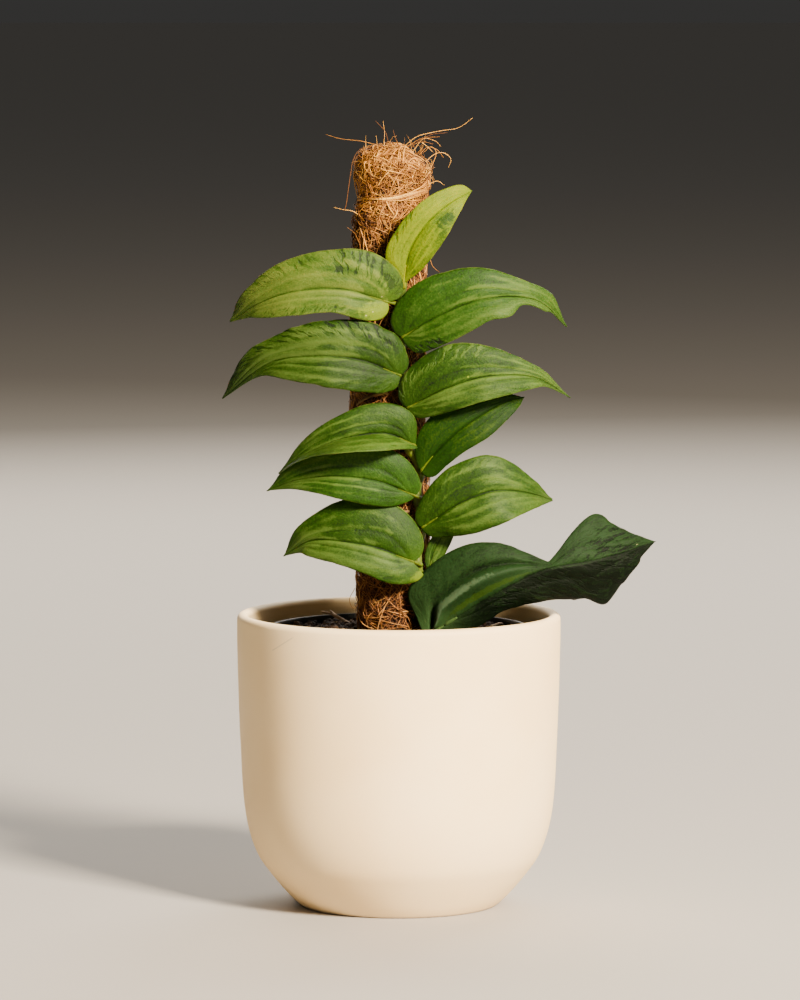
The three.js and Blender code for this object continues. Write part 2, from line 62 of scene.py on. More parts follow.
def catmull(points: Any, t: Any) -> Array:
    """Smooth line through evenly spaced points.

    Between two points the line is the cubic that passes through both, and whose slope at each is
    half the way between that point's neighbours. The ends are reflected.

    Args:
        points: values or vectors, in order.
        t: where on the line, from 0 to 1.

    Returns:
        The values or vectors at t.
    """
    p = np.asarray(points, float)
    single = p.ndim == 1
    p = p[:, None] if single else p
    p = np.vstack([2 * p[0] - p[1], p, 2 * p[-1] - p[-2]])
    spans = len(p) - 3
    place = np.clip(np.asarray(t, float), 0, 1) * spans
    i = np.minimum(place.astype(int), spans - 1)
    f = (place - i)[..., None]
    a, b, c, d = p[i], p[i + 1], p[i + 2], p[i + 3]
    slope, bend, twist = c - a, 2 * a - 5 * b + 4 * c - d, 3 * b - a - 3 * c + d
    value = 0.5 * (2 * b + slope * f + bend * f**2 + twist * f**3)
    return value[..., 0] if single else value


def unit(vectors: Array) -> Array:
    """Vectors of length one: each divided by its own length."""
    return vectors / np.maximum(np.linalg.norm(vectors, axis=-1, keepdims=True), 1e-9)


def ease(x: Any, low: float, high: float) -> Array:
    """An s-curve from 0 at low to 1 at high: 3 t squared less 2 t cubed."""
    t = np.clip((np.asarray(x, float) - low) / (high - low), 0, 1)
    return t * t * (3 - 2 * t)


def bell(x: Any, middle: float, width: float) -> Array:
    """A bell curve, 1 at its middle: e to the minus of the squared distance in widths."""
    return np.exp(-(((np.asarray(x, float) - middle) / width) ** 2))


def unevenness(x: Any, y: Any, seed: int) -> Array:
    """Smooth random heights from -1 to 1.

    Every whole-number corner of the plane has a random height, which comes again REPEAT corners
    on, and a place between corners takes a blend of its four corners by s-curves of its distances.

    Args:
        x: first coordinate.
        y: second coordinate.
        seed: chooses the heights.

    Returns:
        The heights.
    """
    x, y = np.broadcast_arrays(np.asarray(x, float), np.asarray(y, float))
    table = np.random.default_rng(seed).uniform(-1, 1, (REPEAT, REPEAT))
    i, j = np.floor(x).astype(int), np.floor(y).astype(int)
    f, g = ease(x - i, 0, 1), ease(y - j, 0, 1)
    low, high = (
        table[i % REPEAT, k % REPEAT] * (1 - f) + table[(i + 1) % REPEAT, k % REPEAT] * f for k in (j, j + 1)
    )
    return low * (1 - g) + high * g


def around(count: int, whole: float = TURN) -> Array:
    """Evenly spaced places round a circle, as angles or as parts of another whole."""
    return np.arange(count) / count * whole


def circle(angle: Array) -> Array:
    """Points at angles on a circle of radius one: the cosine and the sine of each."""
    return np.stack([np.cos(angle), np.sin(angle)], -1)


def lifted(flat: Array, height: Any) -> Array:
    """Points of a plane given a height, or one for each, as their z."""
    return np.concatenate([flat, np.broadcast_to(height, flat.shape[:-1])[..., None]], -1)


# Meshes


class Ends(Enum):
    """How a stack of rings ends: closed with flat caps, or its last ring joined to its first."""

    CAPPED = "capped"
    JOINED = "joined"


def placed(name: str, data: Any) -> Piece:
    """A new object in the scene, which holds a mesh, a lamp or a camera."""
    holder = bpy.data.objects.new(name, data)
    bpy.context.scene.collection.objects.link(holder)
    return holder


@dataclass
class Shape:
    """A closed surface before it is made: points in millimetres, faces, and values at the points."""

    points: Array
    faces: list[Array]
    uv: Optional[Array] = None
    values: dict[str, Array] = field(default_factory=dict)

    def outward(self) -> "Shape":
        """Turn the faces round if the volume that they hold comes out negative."""
        volume = 0.0
        for faces in self.faces:
            corners = self.points[faces]
            fan = np.cross(corners[:, 1:-1], corners[:, 2:])
            volume += float(np.sum(corners[:, :1] * fan))
        if volume < 0:
            self.faces = [faces[:, ::-1] for faces in self.faces]
        return self

    @staticmethod
    def joined(shapes: Sequence["Shape"]) -> "Shape":
        """Put several shapes in one, with zeros where one lacks a value that another has."""
        starts = np.cumsum([0] + [len(s.points) for s in shapes])
        names = sorted({name for s in shapes for name in s.values})
        return Shape(
            np.concatenate([s.points for s in shapes]),
            [faces + start for s, start in zip(shapes, starts) for faces in s.faces],
            np.concatenate([np.zeros((len(s.points), 2)) if s.uv is None else s.uv for s in shapes]),
            {
                name: np.concatenate([s.values.get(name, np.zeros(len(s.points))) for s in shapes])
                for name in names
            },
        )

    def make(self, name: str, finish: Material, slot: str, replaced: Sequence[str] = ()) -> Piece:
        """Make the mesh and the piece, and set what it rides on and stands for.

        Args:
            name: the piece's name.
            finish: its material.
            slot: the record's material slot; not used.
            replaced: the CAD nodes that it stands for.

        Returns:
            The piece, at the origin with its place in its mesh.
        """
        mesh = bpy.data.meshes.new(name)
        loops = np.concatenate([faces.ravel() for faces in self.faces]).astype(np.int32)
        sizes = np.concatenate([np.full(len(faces), faces.shape[1]) for faces in self.faces])
        mesh.vertices.add(len(self.points))
        mesh.vertices.foreach_set("co", (self.points * MM).astype(np.float32).ravel())
        mesh.loops.add(len(loops))
        mesh.loops.foreach_set("vertex_index", loops)
        mesh.polygons.add(len(sizes))
        mesh.polygons.foreach_set("loop_start", (np.cumsum(sizes) - sizes).astype(np.int32))
        mesh.polygons.foreach_set("use_smooth", np.ones(len(sizes), bool))
        if self.uv is not None:
            layer = mesh.uv_layers.new(name="surface")
            layer.data.foreach_set("uv", self.uv[loops].astype(np.float32).ravel())
        for label, numbers in self.values.items():
            attribute = mesh.attributes.new(label, "FLOAT", "POINT")
            attribute.data.foreach_set("value", numbers.astype(np.float32))
        mesh.update(calc_edges=True)
        mesh.materials.append(finish)
        piece = placed(name, mesh)
        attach(piece, "root")
        if replaced:
            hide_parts(*replaced)
        log.info("%s: %d triangles", name, np.sum(sizes - 2))
        return piece


def bands(index: Array) -> Array:
    """Four-sided faces between neighbours, along and round rings of point numbers."""
    near, far = index[..., :-1, :], index[..., 1:, :]
    return np.stack([near, np.roll(near, -1, -1), np.roll(far, -1, -1), far], -1).reshape(-1, 4)


def net(points: Array) -> Shape:
    """Open surface over rings of points, joined by four-sided faces, that other shapes close."""
    index = np.arange(points[..., 0].size).reshape(points.shape[:2])
    return Shape(points.reshape(-1, 3), [bands(index)])


def ringed(rings: Array, ends: Ends) -> Shape:
    """Skin over a stack of rings.

    Neighbouring points of neighbouring rings are joined by four-sided faces, round and along.

    Args:
        rings: points as [ring, place round it, xyz].
        ends: what closes the stack.

    Returns:
        The closed surface.
    """
    count, sides = rings.shape[:2]
    index = np.arange(count * sides).reshape(count, sides)
    if ends is Ends.JOINED:
        faces = [bands(np.vstack([index, index[:1]]))]
    else:
        faces = [bands(index), index[:1, ::-1], index[-1:]]
    side, up = np.meshgrid(around(sides, 1), np.linspace(0, 1, count))
    return Shape(rings.reshape(-1, 3), faces, np.stack([side.ravel(), up.ravel()], -1)).outward()


def turned(profile: Array, sides: int, ends: Ends, middle: Any = 0.0, swell: Any = 0.0) -> Shape:
    """Body of revolution about a line near Z.

    A ring's point at an angle is the ring's middle plus its radius times the cosine and the sine.

    Args:
        profile: [radius, height] of each ring.
        sides: points round a ring.
        ends: what closes it.
        middle: how far the rings' middles lie off Z along X.
        swell: what is added to the radius, as [ring, place round it].

    Returns:
        The closed surface.
    """
    angle = around(sides)
    radius = profile[:, :1] + swell
    x = np.reshape(middle, (-1, 1)) + radius * np.cos(angle)
    z = np.broadcast_to(profile[:, 1:], x.shape)
    return ringed(np.stack([x, radius * np.sin(angle), z], -1), ends)


def strands(paths: Array, radii: Any, sides: int, hint: Any, tones: Any = None) -> Shape:
    """Closed tubes along many paths at once.

    Each point of a path carries a ring: the radius times the cosine along one side vector plus the
    sine along another, both square to the path. The side vector is the path's direction crossed
    with a hint.

    Args:
        paths: points as [strand, step, xyz].
        radii: radius of each strand at each step.
        sides: points round a ring.
        hint: a direction, or one for each point, that the path never runs along.
        tones: how light the strands are, for each or for each step, where their finish asks.

    Returns:
        All the tubes as one shape.
    """
    count, steps = paths.shape[:2]

    def spread(values: Any) -> Array:
        """Values of strands or their steps, given to every point round the step."""
        return np.repeat(np.broadcast_to(values, (count, steps)).ravel(), sides)

    ahead = unit(np.gradient(paths, axis=1))
    side = unit(np.cross(ahead, np.broadcast_to(np.asarray(hint, float), paths.shape)))[:, :, None]
    up = np.cross(ahead, side[:, :, 0])[:, :, None]
    angle = around(sides)[:, None]
    radius = np.broadcast_to(np.asarray(radii, float), (count, steps))[..., None, None]
    rings = paths[:, :, None] + radius * (np.cos(angle) * side + np.sin(angle) * up)
    index = np.arange(count * steps * sides).reshape(count, steps, sides)
    uv = np.stack([np.tile(around(sides, 1), count * steps), spread(np.linspace(0, 1, steps))], -1)
    values = {} if tones is None else {"tone": spread(tones)}
    return Shape(rings.reshape(-1, 3), [bands(index), index[:, 0, ::-1], index[:, -1]], uv, values)


def two_sided(front: Array, back: Array) -> Shape:
    """Thin closed sheet from a grid of points on its face and one on its back.

    Both grids are joined by four-sided faces, and a strip runs round the edge from one to the other.

    Args:
        front: points as [row, column, xyz].
        back: the same for the back.

    Returns:
        The closed sheet, with the value "away" 1 on its back.
    """
    index = np.arange(front[..., 0].size).reshape(front.shape[:2])
    count = index.size
    face = np.stack([index[:-1, :-1], index[1:, :-1], index[1:, 1:], index[:-1, 1:]], -1).reshape(-1, 4)
    edge = np.concatenate([index[:-1, 0], index[-1, :-1], index[:0:-1, -1], index[0, :0:-1]])
    onward = np.roll(edge, -1)
    strip = np.stack([onward, edge, edge + count, onward + count], -1)
    points = np.concatenate([front.reshape(-1, 3), back.reshape(-1, 3)])
    return Shape(points, [face, (face + count)[:, ::-1], strip], None, {"away": np.repeat([0.0, 1.0], count)})


# Materials


def tint(code: str) -> Colour:
    """A colour written as on a paint card, as the light that it reflects in red, green and blue."""
    levels = [int(code[i : i + 2], 16) / 255 for i in (1, 3, 5)]
    light = [level / 12.92 if level <= 0.04045 else ((level + 0.055) / 1.055) ** 2.4 for level in levels]
    return (light[0], light[1], light[2], 1.0)


class Value:
    """A number or colour that varies over a surface. Arithmetic on it adds Math nodes."""

    def __init__(self, paint: "Paint", socket: bpy.types.NodeSocket) -> None:
        """Hold the socket, and the material that it belongs to."""
        self.paint = paint
        self.socket = socket

    def _math(self, operation: str, first: "Number", second: "Number") -> "Value":
        """Add one Math node."""
        return self.paint.node("ShaderNodeMath", {"operation": operation}, {0: first, 1: second})

    def __add__(self, other: "Number") -> "Value":
        """Sum."""
        return self._math("ADD", self, other)

    def __radd__(self, other: "Number") -> "Value":
        """Sum with a plain number on the left."""
        return self._math("ADD", other, self)

    def __sub__(self, other: "Number") -> "Value":
        """Difference."""
        return self._math("SUBTRACT", self, other)

    def __rsub__(self, other: "Number") -> "Value":
        """Difference with a plain number on the left."""
        return self._math("SUBTRACT", other, self)

    def __mul__(self, other: "Number") -> "Value":
        """Product."""
        return self._math("MULTIPLY", self, other)

    def __rmul__(self, other: "Number") -> "Value":
        """Product with a plain number on the left."""
        return self._math("MULTIPLY", other, self)

    def __truediv__(self, other: "Number") -> "Value":
        """Quotient."""
        return self._math("DIVIDE", self, other)

    def __pow__(self, other: "Number") -> "Value":
        """Power."""
        return self._math("POWER", self, other)

    def __abs__(self) -> "Value":
        """Size without its sign."""
        return self._math("ABSOLUTE", self, 0.0)


Number = Union[Value, float, int]


class Paint:
    """One material, or the sky, while its nodes are put together."""

    def __init__(self, name: str, shelf: str = "materials") -> None:
        """Start with no nodes, on the shelf that new materials are on, or else new worlds."""
        self.owner = getattr(bpy.data, shelf).new(name)
        self.owner.use_nodes = True
        self.tree = self.owner.node_tree
        self.tree.nodes.clear()

    def node(
        self,
        kind: str,
        settings: Optional[dict[str, Any]] = None,
        values: Optional[dict[Any, Any]] = None,
        out: Union[int, str] = 0,
    ) -> Value:
        """Add any node.

        Args:
            kind: the node's type.
            settings: what is set on the node itself; "stops" are a ramp's places and colours.
            values: a number, colour or Value for each socket named or numbered.
            out: the output that is wanted.

        Returns:
            That output, or that input of a node without outputs.
        """
        node = self.tree.nodes.new(kind)
        for name, setting in (settings or {}).items():
            if name == "stops":
                elements = node.color_ramp.elements
                elements.remove(elements[1])
                elements[0].position, elements[0].color = setting[0]
                for position, colour in setting[1:]:
                    elements.new(position).color = colour
            else:
                setattr(node, name, setting)
        for socket, value in (values or {}).items():
            if isinstance(value, Value):
                self.tree.links.new(value.socket, node.inputs[socket])
            else:
                node.inputs[socket].default_value = value
        return Value(self, (node.outputs or node.inputs)[out])

    def place(self) -> Value:
        """Where a point lies, in metres."""
        return self.node("ShaderNodeTexCoord", out="Object")

    def attribute(self, name: str) -> Value:
        """A value that the mesh holds."""
        return self.node("ShaderNodeAttribute", {"attribute_name": name}, out="Fac")

    def parts(self, vector: Value) -> tuple[Value, ...]:
        """The three numbers of a vector."""
        split = self.node("ShaderNodeSeparateXYZ", values={0: vector}).socket.node
        return tuple(Value(self, output) for output in split.outputs)

    def across(self) -> tuple[Value, ...]:
        """The two parameters of the piece's surface."""
        return self.parts(self.node("ShaderNodeUVMap", {"uv_map": "surface"}))[:2]

    def pair(self, x: Number, y: Number) -> Value:
        """A flat vector of two values."""
        return self.node("ShaderNodeCombineXYZ", values={0: x, 1: y})

    def stretched(self, vector: Value, by: tuple[float, float, float]) -> Value:
        """A vector times three numbers."""
        return self.node("ShaderNodeVectorMath", {"operation": "MULTIPLY"}, {0: vector, 1: by})

    def grain(self, at: Value, scale: float, detail: float = 2.0, rough: float = 0.5) -> Value:
        """Smooth random values about 0.5, with finer ones over them."""
        values = {"Vector": at, "Scale": scale, "Detail": detail, "Roughness": rough}
        return self.node("ShaderNodeTexNoise", values=values)

    def cells(self, at: Value, scale: float) -> Value:
        """Distance to the nearest of many scattered points."""
        return self.node("ShaderNodeTexVoronoi", values={"Vector": at, "Scale": scale})

    def ease(self, value: Value, low: float, high: float) -> Value:
        """An s-curve from 0 at low to 1 at high."""
        settings = {"interpolation_type": "SMOOTHSTEP"}
        return self.node("ShaderNodeMapRange", settings, {"Value": value, "From Min": low, "From Max": high})

    def ramp(self, value: Value, *stops: tuple[float, Colour]) -> Value:
        """Colours along a value."""
        return self.node("ShaderNodeValToRGB", {"stops": stops}, {0: value})

    def blend(self, part: Number, first: Any, second: Any) -> Value:
        """The first colour, with a part of the second."""
        return self.node("ShaderNodeMix", {"data_type": "RGBA"}, {0: part, 6: first, 7: second}, out=2)

    def bump(self, height: Value, depth: float) -> Value:
        """A surface normal tipped by a height, which reaches a depth in metres."""
        return self.node("ShaderNodeBump", values={"Height": height, "Distance": depth, "Strength": 1.0})

    def finish(self, colour: Any, roughness: Number, normal: Value, **fixed: float) -> Material:
        """Join colour, roughness and normal in a surface.

        Args:
            colour: the base colour.
            roughness: from 0, a mirror, to 1.
            normal: the surface normal.
            **fixed: other sockets' constant values, with _ for the spaces in their names.

        Returns:
            The material.
        """
        values = {"Base Color": colour, "Roughness": roughness, "Normal": normal}
        values.update({name.replace("_", " "): value for name, value in fixed.items()})
        surface = self.node("ShaderNodeBsdfPrincipled", values=values)
        self.node("ShaderNodeOutputMaterial", values={"Surface": surface})
        return self.owner


def refinish(node: str, finish: Material) -> None:
    """Give a CAD node that stays in sight its finish."""
    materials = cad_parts[node].data.materials
    materials.clear()
    materials.append(finish)


# In every finish a scale is a grain's fineness per metre, and relief is its depth in metres.


@dataclass(frozen=True)
class CeramicFinish:
    """Cream slip, matte and fine-grained, with a faint hairline scratch, and painted shade inside."""

    cream: Colour = tint("#f8dca8")
    warm: Colour = tint("#f3d49c")
    chalk: Colour = tint("#fae1b2")
    scratch: Colour = tint("#c9b393")
    foot: Colour = tint("#d9c2a0")
    # The colour of the painted shade on the inner wall and floor.
    inside_shade: Colour = tint("#a8926a")
    scratch_from: tuple[float, float] = (-57.5, 121.6)
    scratch_to: tuple[float, float] = (-46.6, 129.6)
    cloud_scale: float = 14
    grain_scale: float = 900
    pit_scale: float = 420
    relief: float = 0.00006
    roughness: float = 0.56

    def hairline(self, paint: Paint, at: Value) -> Value:
        """The scratch: where the distance from a line seen from the front is small, faded at its ends."""
        x, depth, z = paint.parts(at)
        run, rise = (end - start for start, end in zip(self.scratch_from, self.scratch_to))
        length = math.hypot(run, rise)
        x, z = x - self.scratch_from[0] * MM, z - self.scratch_from[1] * MM
        off = abs(x * (rise / length) - z * (run / length))
        along = x * (run / length) + z * (rise / length)
        line = 1 - paint.ease(off, 0.1 * MM, 0.4 * MM)
        line = line * paint.ease(along, 0, 2 * MM) * (1 - paint.ease(along, (length - 2) * MM, length * MM))
        return line * (1 - paint.ease(depth, -10 * MM, 0))

    def material(self) -> Material:
        """Cloudy cream with fine grain, pits and the scratch, duller at the foot and darker inside with
        painted shade.
        """
        paint = Paint("cream_ceramic")
        at = paint.place()
        clouds = paint.grain(at, self.cloud_scale, 3)
        grain = paint.grain(at, self.grain_scale, 3, 0.6)
        colour = paint.ramp(clouds, (0.3, self.warm), (0.5, self.cream), (0.72, self.chalk))
        colour = paint.blend(paint.ease(grain, 0.62, 0.78) * 0.18, colour, self.warm)
        line = self.hairline(paint, at)
        colour = paint.blend(line * 0.55, colour, self.scratch)
        near_floor = 1 - paint.ease(paint.parts(at)[2], 0.2 * MM, 1.6 * MM)
        colour = paint.blend(near_floor, colour, self.foot)
        # Painted shade over the inner wall and floor.
        colour = paint.blend(paint.attribute("inside") * (0.75 + grain * 0.2), colour, self.inside_shade)
        pits = paint.ease(paint.cells(at, self.pit_scale), 0.0, 0.18)
        normal = paint.bump(grain * 0.5 + pits * 0.25 - line * 0.3, self.relief)
        return paint.finish(colour, self.roughness + clouds * 0.12, normal, Specular_IOR_Level=0.4)


@dataclass(frozen=True)
class PlasticFinish:
    """Black moulded plastic, satin, with patches of soil dust."""

    black: Colour = tint("#171816")
    dust: Colour = tint("#4a3d30")
    dust_scale: float = 160
    grain_scale: float = 1400
    relief: float = 0.00004
    roughness: float = 0.5

    def material(self) -> Material:
        """Near black, with fine moulding grain and patches of dust."""
        paint = Paint("black_plastic")
        at = paint.place()
        dust = paint.ease(paint.grain(at, self.dust_scale, 4, 0.65), 0.52, 0.75)
        colour = paint.blend(dust * 0.45, self.black, self.dust)
        normal = paint.bump(paint.grain(at, self.grain_scale, 2), self.relief)
        return paint.finish(colour, self.roughness + dust * 0.25, normal, Specular_IOR_Level=0.3)


@dataclass(frozen=True)
class FibreFinish:
    """Coconut fibre: each strand has its own tone, from dark to pale."""

    name: str
    dark: Colour
    middle: Colour
    light: Colour
    pale: Colour
    streak_scale: float = 700
    grain_scale: float = 2500
    relief: float = 0.00004
    roughness: float = 0.62

    def material(self) -> Material:
        """Colour by the strand's tone, with streaks along it."""
        paint = Paint(self.name)
        at = paint.place()
        streak = paint.grain(at, self.streak_scale, 2)
        shade = paint.attribute("tone") + (streak - 0.5) * 0.35
        stops = (0.05, self.dark), (0.38, self.middle), (0.68, self.light), (0.95, self.pale)
        normal = paint.bump(paint.grain(at, self.grain_scale, 2), self.relief)
        roughness = self.roughness + streak * 0.2
        return paint.finish(paint.ramp(shade, *stops), roughness, normal, Specular_IOR_Level=0.35)


@dataclass(frozen=True)
class MatFinish:
    """The fibre mat under the strands that show, painted nearly black as the shade between them, with streaks
    that cross.
    """

    # Near black: the painted shade in the gaps between the strands.
    dark: Colour = tint("#1d110a")
    brown: Colour = tint("#4a2d17")
    upright: tuple[float, float, float] = (1.0, 1.0, 0.25)
    upright_scale: float = 900
    level: tuple[float, float, float] = (0.4, 0.4, 1.0)
    level_scale: float = 1100
    relief: float = 0.0004
    roughness: float = 0.9

    def material(self) -> Material:
        """Fine crossed streaks, nearly black between them: painted shade in the gaps."""
        paint = Paint("fibre_gap_shade")
        at = paint.place()
        first = paint.grain(paint.stretched(at, self.upright), self.upright_scale, 3)
        second = paint.grain(paint.stretched(at, self.level), self.level_scale, 3)
        streaks = paint.ease(first * 0.5 + second * 0.5, 0.42, 0.66)
        colour = paint.blend(streaks, self.dark, self.brown)
        normal = paint.bump(streaks, self.relief)
        return paint.finish(colour, self.roughness - streaks * 0.1, normal, Specular_IOR_Level=0.2)


@dataclass(frozen=True)
class SoilFinish:
    """Potting mix: dark crumbs, each with its own tone, dry on top."""

    name: str = "potting_mix"
    dark: Colour = tint("#170f0a")
    brown: Colour = tint("#342418")
    dry: Colour = tint("#614930")
    grain_scale: float = 850
    relief: float = 0.0006
    roughness: float = 0.88

    def material(self) -> Material:
        """Colour by the crumb's tone and by fine grain."""
        paint = Paint(self.name)
        grain = paint.grain(paint.place(), self.grain_scale, 4, 0.65)
        shade = paint.attribute("tone") * 0.65 + grain * 0.5
        colour = paint.ramp(shade, (0.25, self.dark), (0.55, self.brown), (0.95, self.dry))
        normal = paint.bump(grain, self.relief)
        return paint.finish(colour, self.roughness + grain * 0.1, normal, Specular_IOR_Level=0.25)


@dataclass(frozen=True)
class WoodFinish:
    """Bare wood or bark: streaks along one axis, with cracks."""

    name: str
    light: Colour
    dark: Colour
    along: tuple[float, float, float] = (1.0, 1.0, 0.08)
    streak_scale: float = 500
    fine_scale: float = 1500
    relief: float = 0.00025
    roughness: float = 0.78

    def material(self) -> Material:
        """Streaks from stretched grain; the darkest are cracks and lie deeper."""
        paint = Paint(self.name)
        at = paint.place()
        streaks = paint.grain(paint.stretched(at, self.along), self.streak_scale, 4, 0.6)
        fine = paint.grain(at, self.fine_scale, 2)
        colour = paint.ramp(streaks * 0.8 + fine * 0.2, (0.3, self.dark), (0.65, self.light))
        normal = paint.bump(paint.ease(streaks, 0.3, 0.6) + fine * 0.3, self.relief)
        return paint.finish(colour, self.roughness + fine * 0.15, normal)


@dataclass(frozen=True)
class SkinFinish:
    """Stem or root skin: smooth, with faint lengthwise lines and scuffs."""

    name: str
    fresh: Colour
    shaded: Colour
    scuff: Colour
    scuffed: float = 0.5
    roughness: float = 0.45
    broad_scale: float = 110
    scuff_scale: float = 260
    line_scale: float = 1600
    upright: tuple[float, float, float] = (1.0, 1.0, 0.12)
    relief: float = 0.0001

    def material(self) -> Material:
        """Two tones by broad grain, scuffs by patches, and fine lines along Z."""
        paint = Paint(self.name)
        at = paint.place()
        broad = paint.ease(paint.grain(at, self.broad_scale, 3), 0.35, 0.65)
        scuffs = paint.ease(paint.grain(at, self.scuff_scale, 4, 0.7), 0.55, 0.72) * self.scuffed
        colour = paint.blend(scuffs, paint.blend(broad, self.fresh, self.shaded), self.scuff)
        lines = paint.grain(paint.stretched(at, self.upright), self.line_scale, 2)
        normal = paint.bump(lines * 0.6 + scuffs * 0.6, self.relief)
        return paint.finish(colour, self.roughness + scuffs * 0.3, normal, Specular_IOR_Level=0.2)


@dataclass(frozen=True)
class Mark:
    """A smudge, speck or patch of painted sheen on a leaf: where, half its size along and across, its colour
    and strength.
    """

    u: float
    s: float
    long: float
    wide: float
    colour: Colour
    strength: float = 0.8
    ragged: float = 0.5


@dataclass(frozen=True)
class LeafFinish:
    """A satin leaf: saturated near the stem, with a painted sheen where it turns pale, and a light margin."""

    deep: Colour = tint("#081403")
    green: Colour = tint("#1a3401")
    # The pale end of the tone ramp, which the painted sheen reaches.
    pale: Colour = tint("#3f551d")
    base: Colour = tint("#254201")
    rim: Colour = tint("#546325")
    heart: Colour = tint("#5a6213")
    under: Colour = tint("#556c3a")
    # tip: painted shade towards the tip, strongest on the left leaves, whose tips turn away from the light.
    tip: Colour = tint("#102302")
    tip_shade_part: float = 0.3
    base_part: float = 0.3
    rim_part: float = 0.5
    roughness: float = 0.54
    shine: float = 0.12
    stroke_count: float = 42
    stroke_slant: float = 5
    marks: tuple[Mark, ...] = ()
    cloud_scale: float = 120
    ragged_scale: float = 480
    fine_scale: float = 1100
    veinlets: tuple[float, float, float] = (90, 24, 9)
    relief: float = 0.0004

    def marked(self, paint: Paint, colour: Value, u: Value, s: Value, ragged: Value) -> Value:
        """Lay the marks over a colour.

        A mark is whole within its middle and gone at its own size, by the root of the sum of the
        squared distances in half sizes, and a grain makes its edge ragged.

        Args:
            paint: the material.
            colour: what they lie on.
            u: the rib number.
            s: the place across the blade.
            ragged: the grain.

        Returns:
            The colour with the marks.
        """
        for mark in self.marks:
            along, side = (u - mark.u) / mark.long, (s - mark.s) / mark.wide
            far = (along * along + side * side) ** 0.5 + (ragged - 0.5) * (mark.ragged * 2.6)
            colour = paint.blend((1 - paint.ease(far, 0.55, 1.0)) * mark.strength, colour, mark.colour)
        return colour

    def material(self, name: str) -> Material:
        """Put the leaf's colours together.

        Args:
            name: the material's name.

        Returns:
            The material, which follows the rib number u and the place s across the blade.
        """
        paint = Paint(name)
        at = paint.place()
        u, v = paint.across()
        s = v * 2 - 1
        r = abs(s)
        away = paint.attribute("away")
        clouds = paint.grain(at, self.cloud_scale, 4, 0.65)
        fine = paint.grain(at, self.fine_scale, 3, 0.65)
        ribs, slant, wide = self.veinlets
        veinlets = paint.grain(paint.pair(u * ribs - r * slant, s * wide), 1.0, 3, 0.6)
        bent = u * self.stroke_count - r * self.stroke_slant + clouds * 2.5
        lines = paint.grain(paint.pair(bent, s * 2.6), 1.0, 2, 0.5)
        # Painted shade of the wrinkles in slanting lines, which also sink the bump; light where a hatch's
        # strength is negative.
        strokes = paint.ease(lines, 0.5, 0.6) * paint.attribute("strokes")
        tone = paint.attribute("tone") - strokes
        tone = tone + (clouds - 0.5) * 0.5 + (fine - 0.5) * 0.8 + (veinlets - 0.5) * 0.3
        # The tone carries the painted sheen and the painted light and shade of the relief.
        colour = paint.ramp(tone, (0.0, self.deep), (0.36, self.green), (0.92, self.pale))
        colour = paint.blend((1 - paint.ease(u, 0.0, 0.3)) * self.base_part, colour, self.base)
        # Darker towards the tip: painted shade.
        colour = paint.blend(paint.ease(u, 0.75, 1.0) * self.tip_shade_part, colour, self.tip)
        uneven = paint.ease(clouds + fine * 0.3, 0.5, 0.75)
        colour = paint.blend(paint.ease(r, 0.965, 0.995) * uneven * self.rim_part, colour, self.rim)
        heart = (1 - paint.ease(u, 0.0, 0.1)) * (1 - paint.ease(r, 0.01, 0.07))
        colour = paint.blend(heart * 0.7, colour, self.heart)
        colour = self.marked(paint, colour, u, s, paint.grain(at, self.ragged_scale, 4, 0.65))
        veined = paint.ease(veinlets + (fine - 0.5) * 0.3, 0.35, 0.7)
        under = paint.blend(veined * 0.45 + clouds * 0.3, self.under, self.green)
        midrib = 1 - paint.ease(r, 0.012, 0.05)
        colour = paint.blend(away, colour, paint.blend(midrib * 0.6, under, self.heart))
        stem = paint.blend(paint.ease(fine, 0.3, 0.7) * 0.4 + 0.3, self.heart, self.base)
        colour = paint.blend(paint.attribute("stalk"), colour, stem)
        height = veinlets * 0.4 + fine * 0.4 + clouds * 0.7 - strokes * 1.2
        roughness = self.roughness + (fine - 0.5) * 0.2 + away * 0.12
        fixed = {"Specular_IOR_Level": self.shine, "Subsurface_Weight": 0.05, "Subsurface_Scale": 0.001}
        return paint.finish(colour, roughness, paint.bump(height, self.relief), **fixed)


# The pots


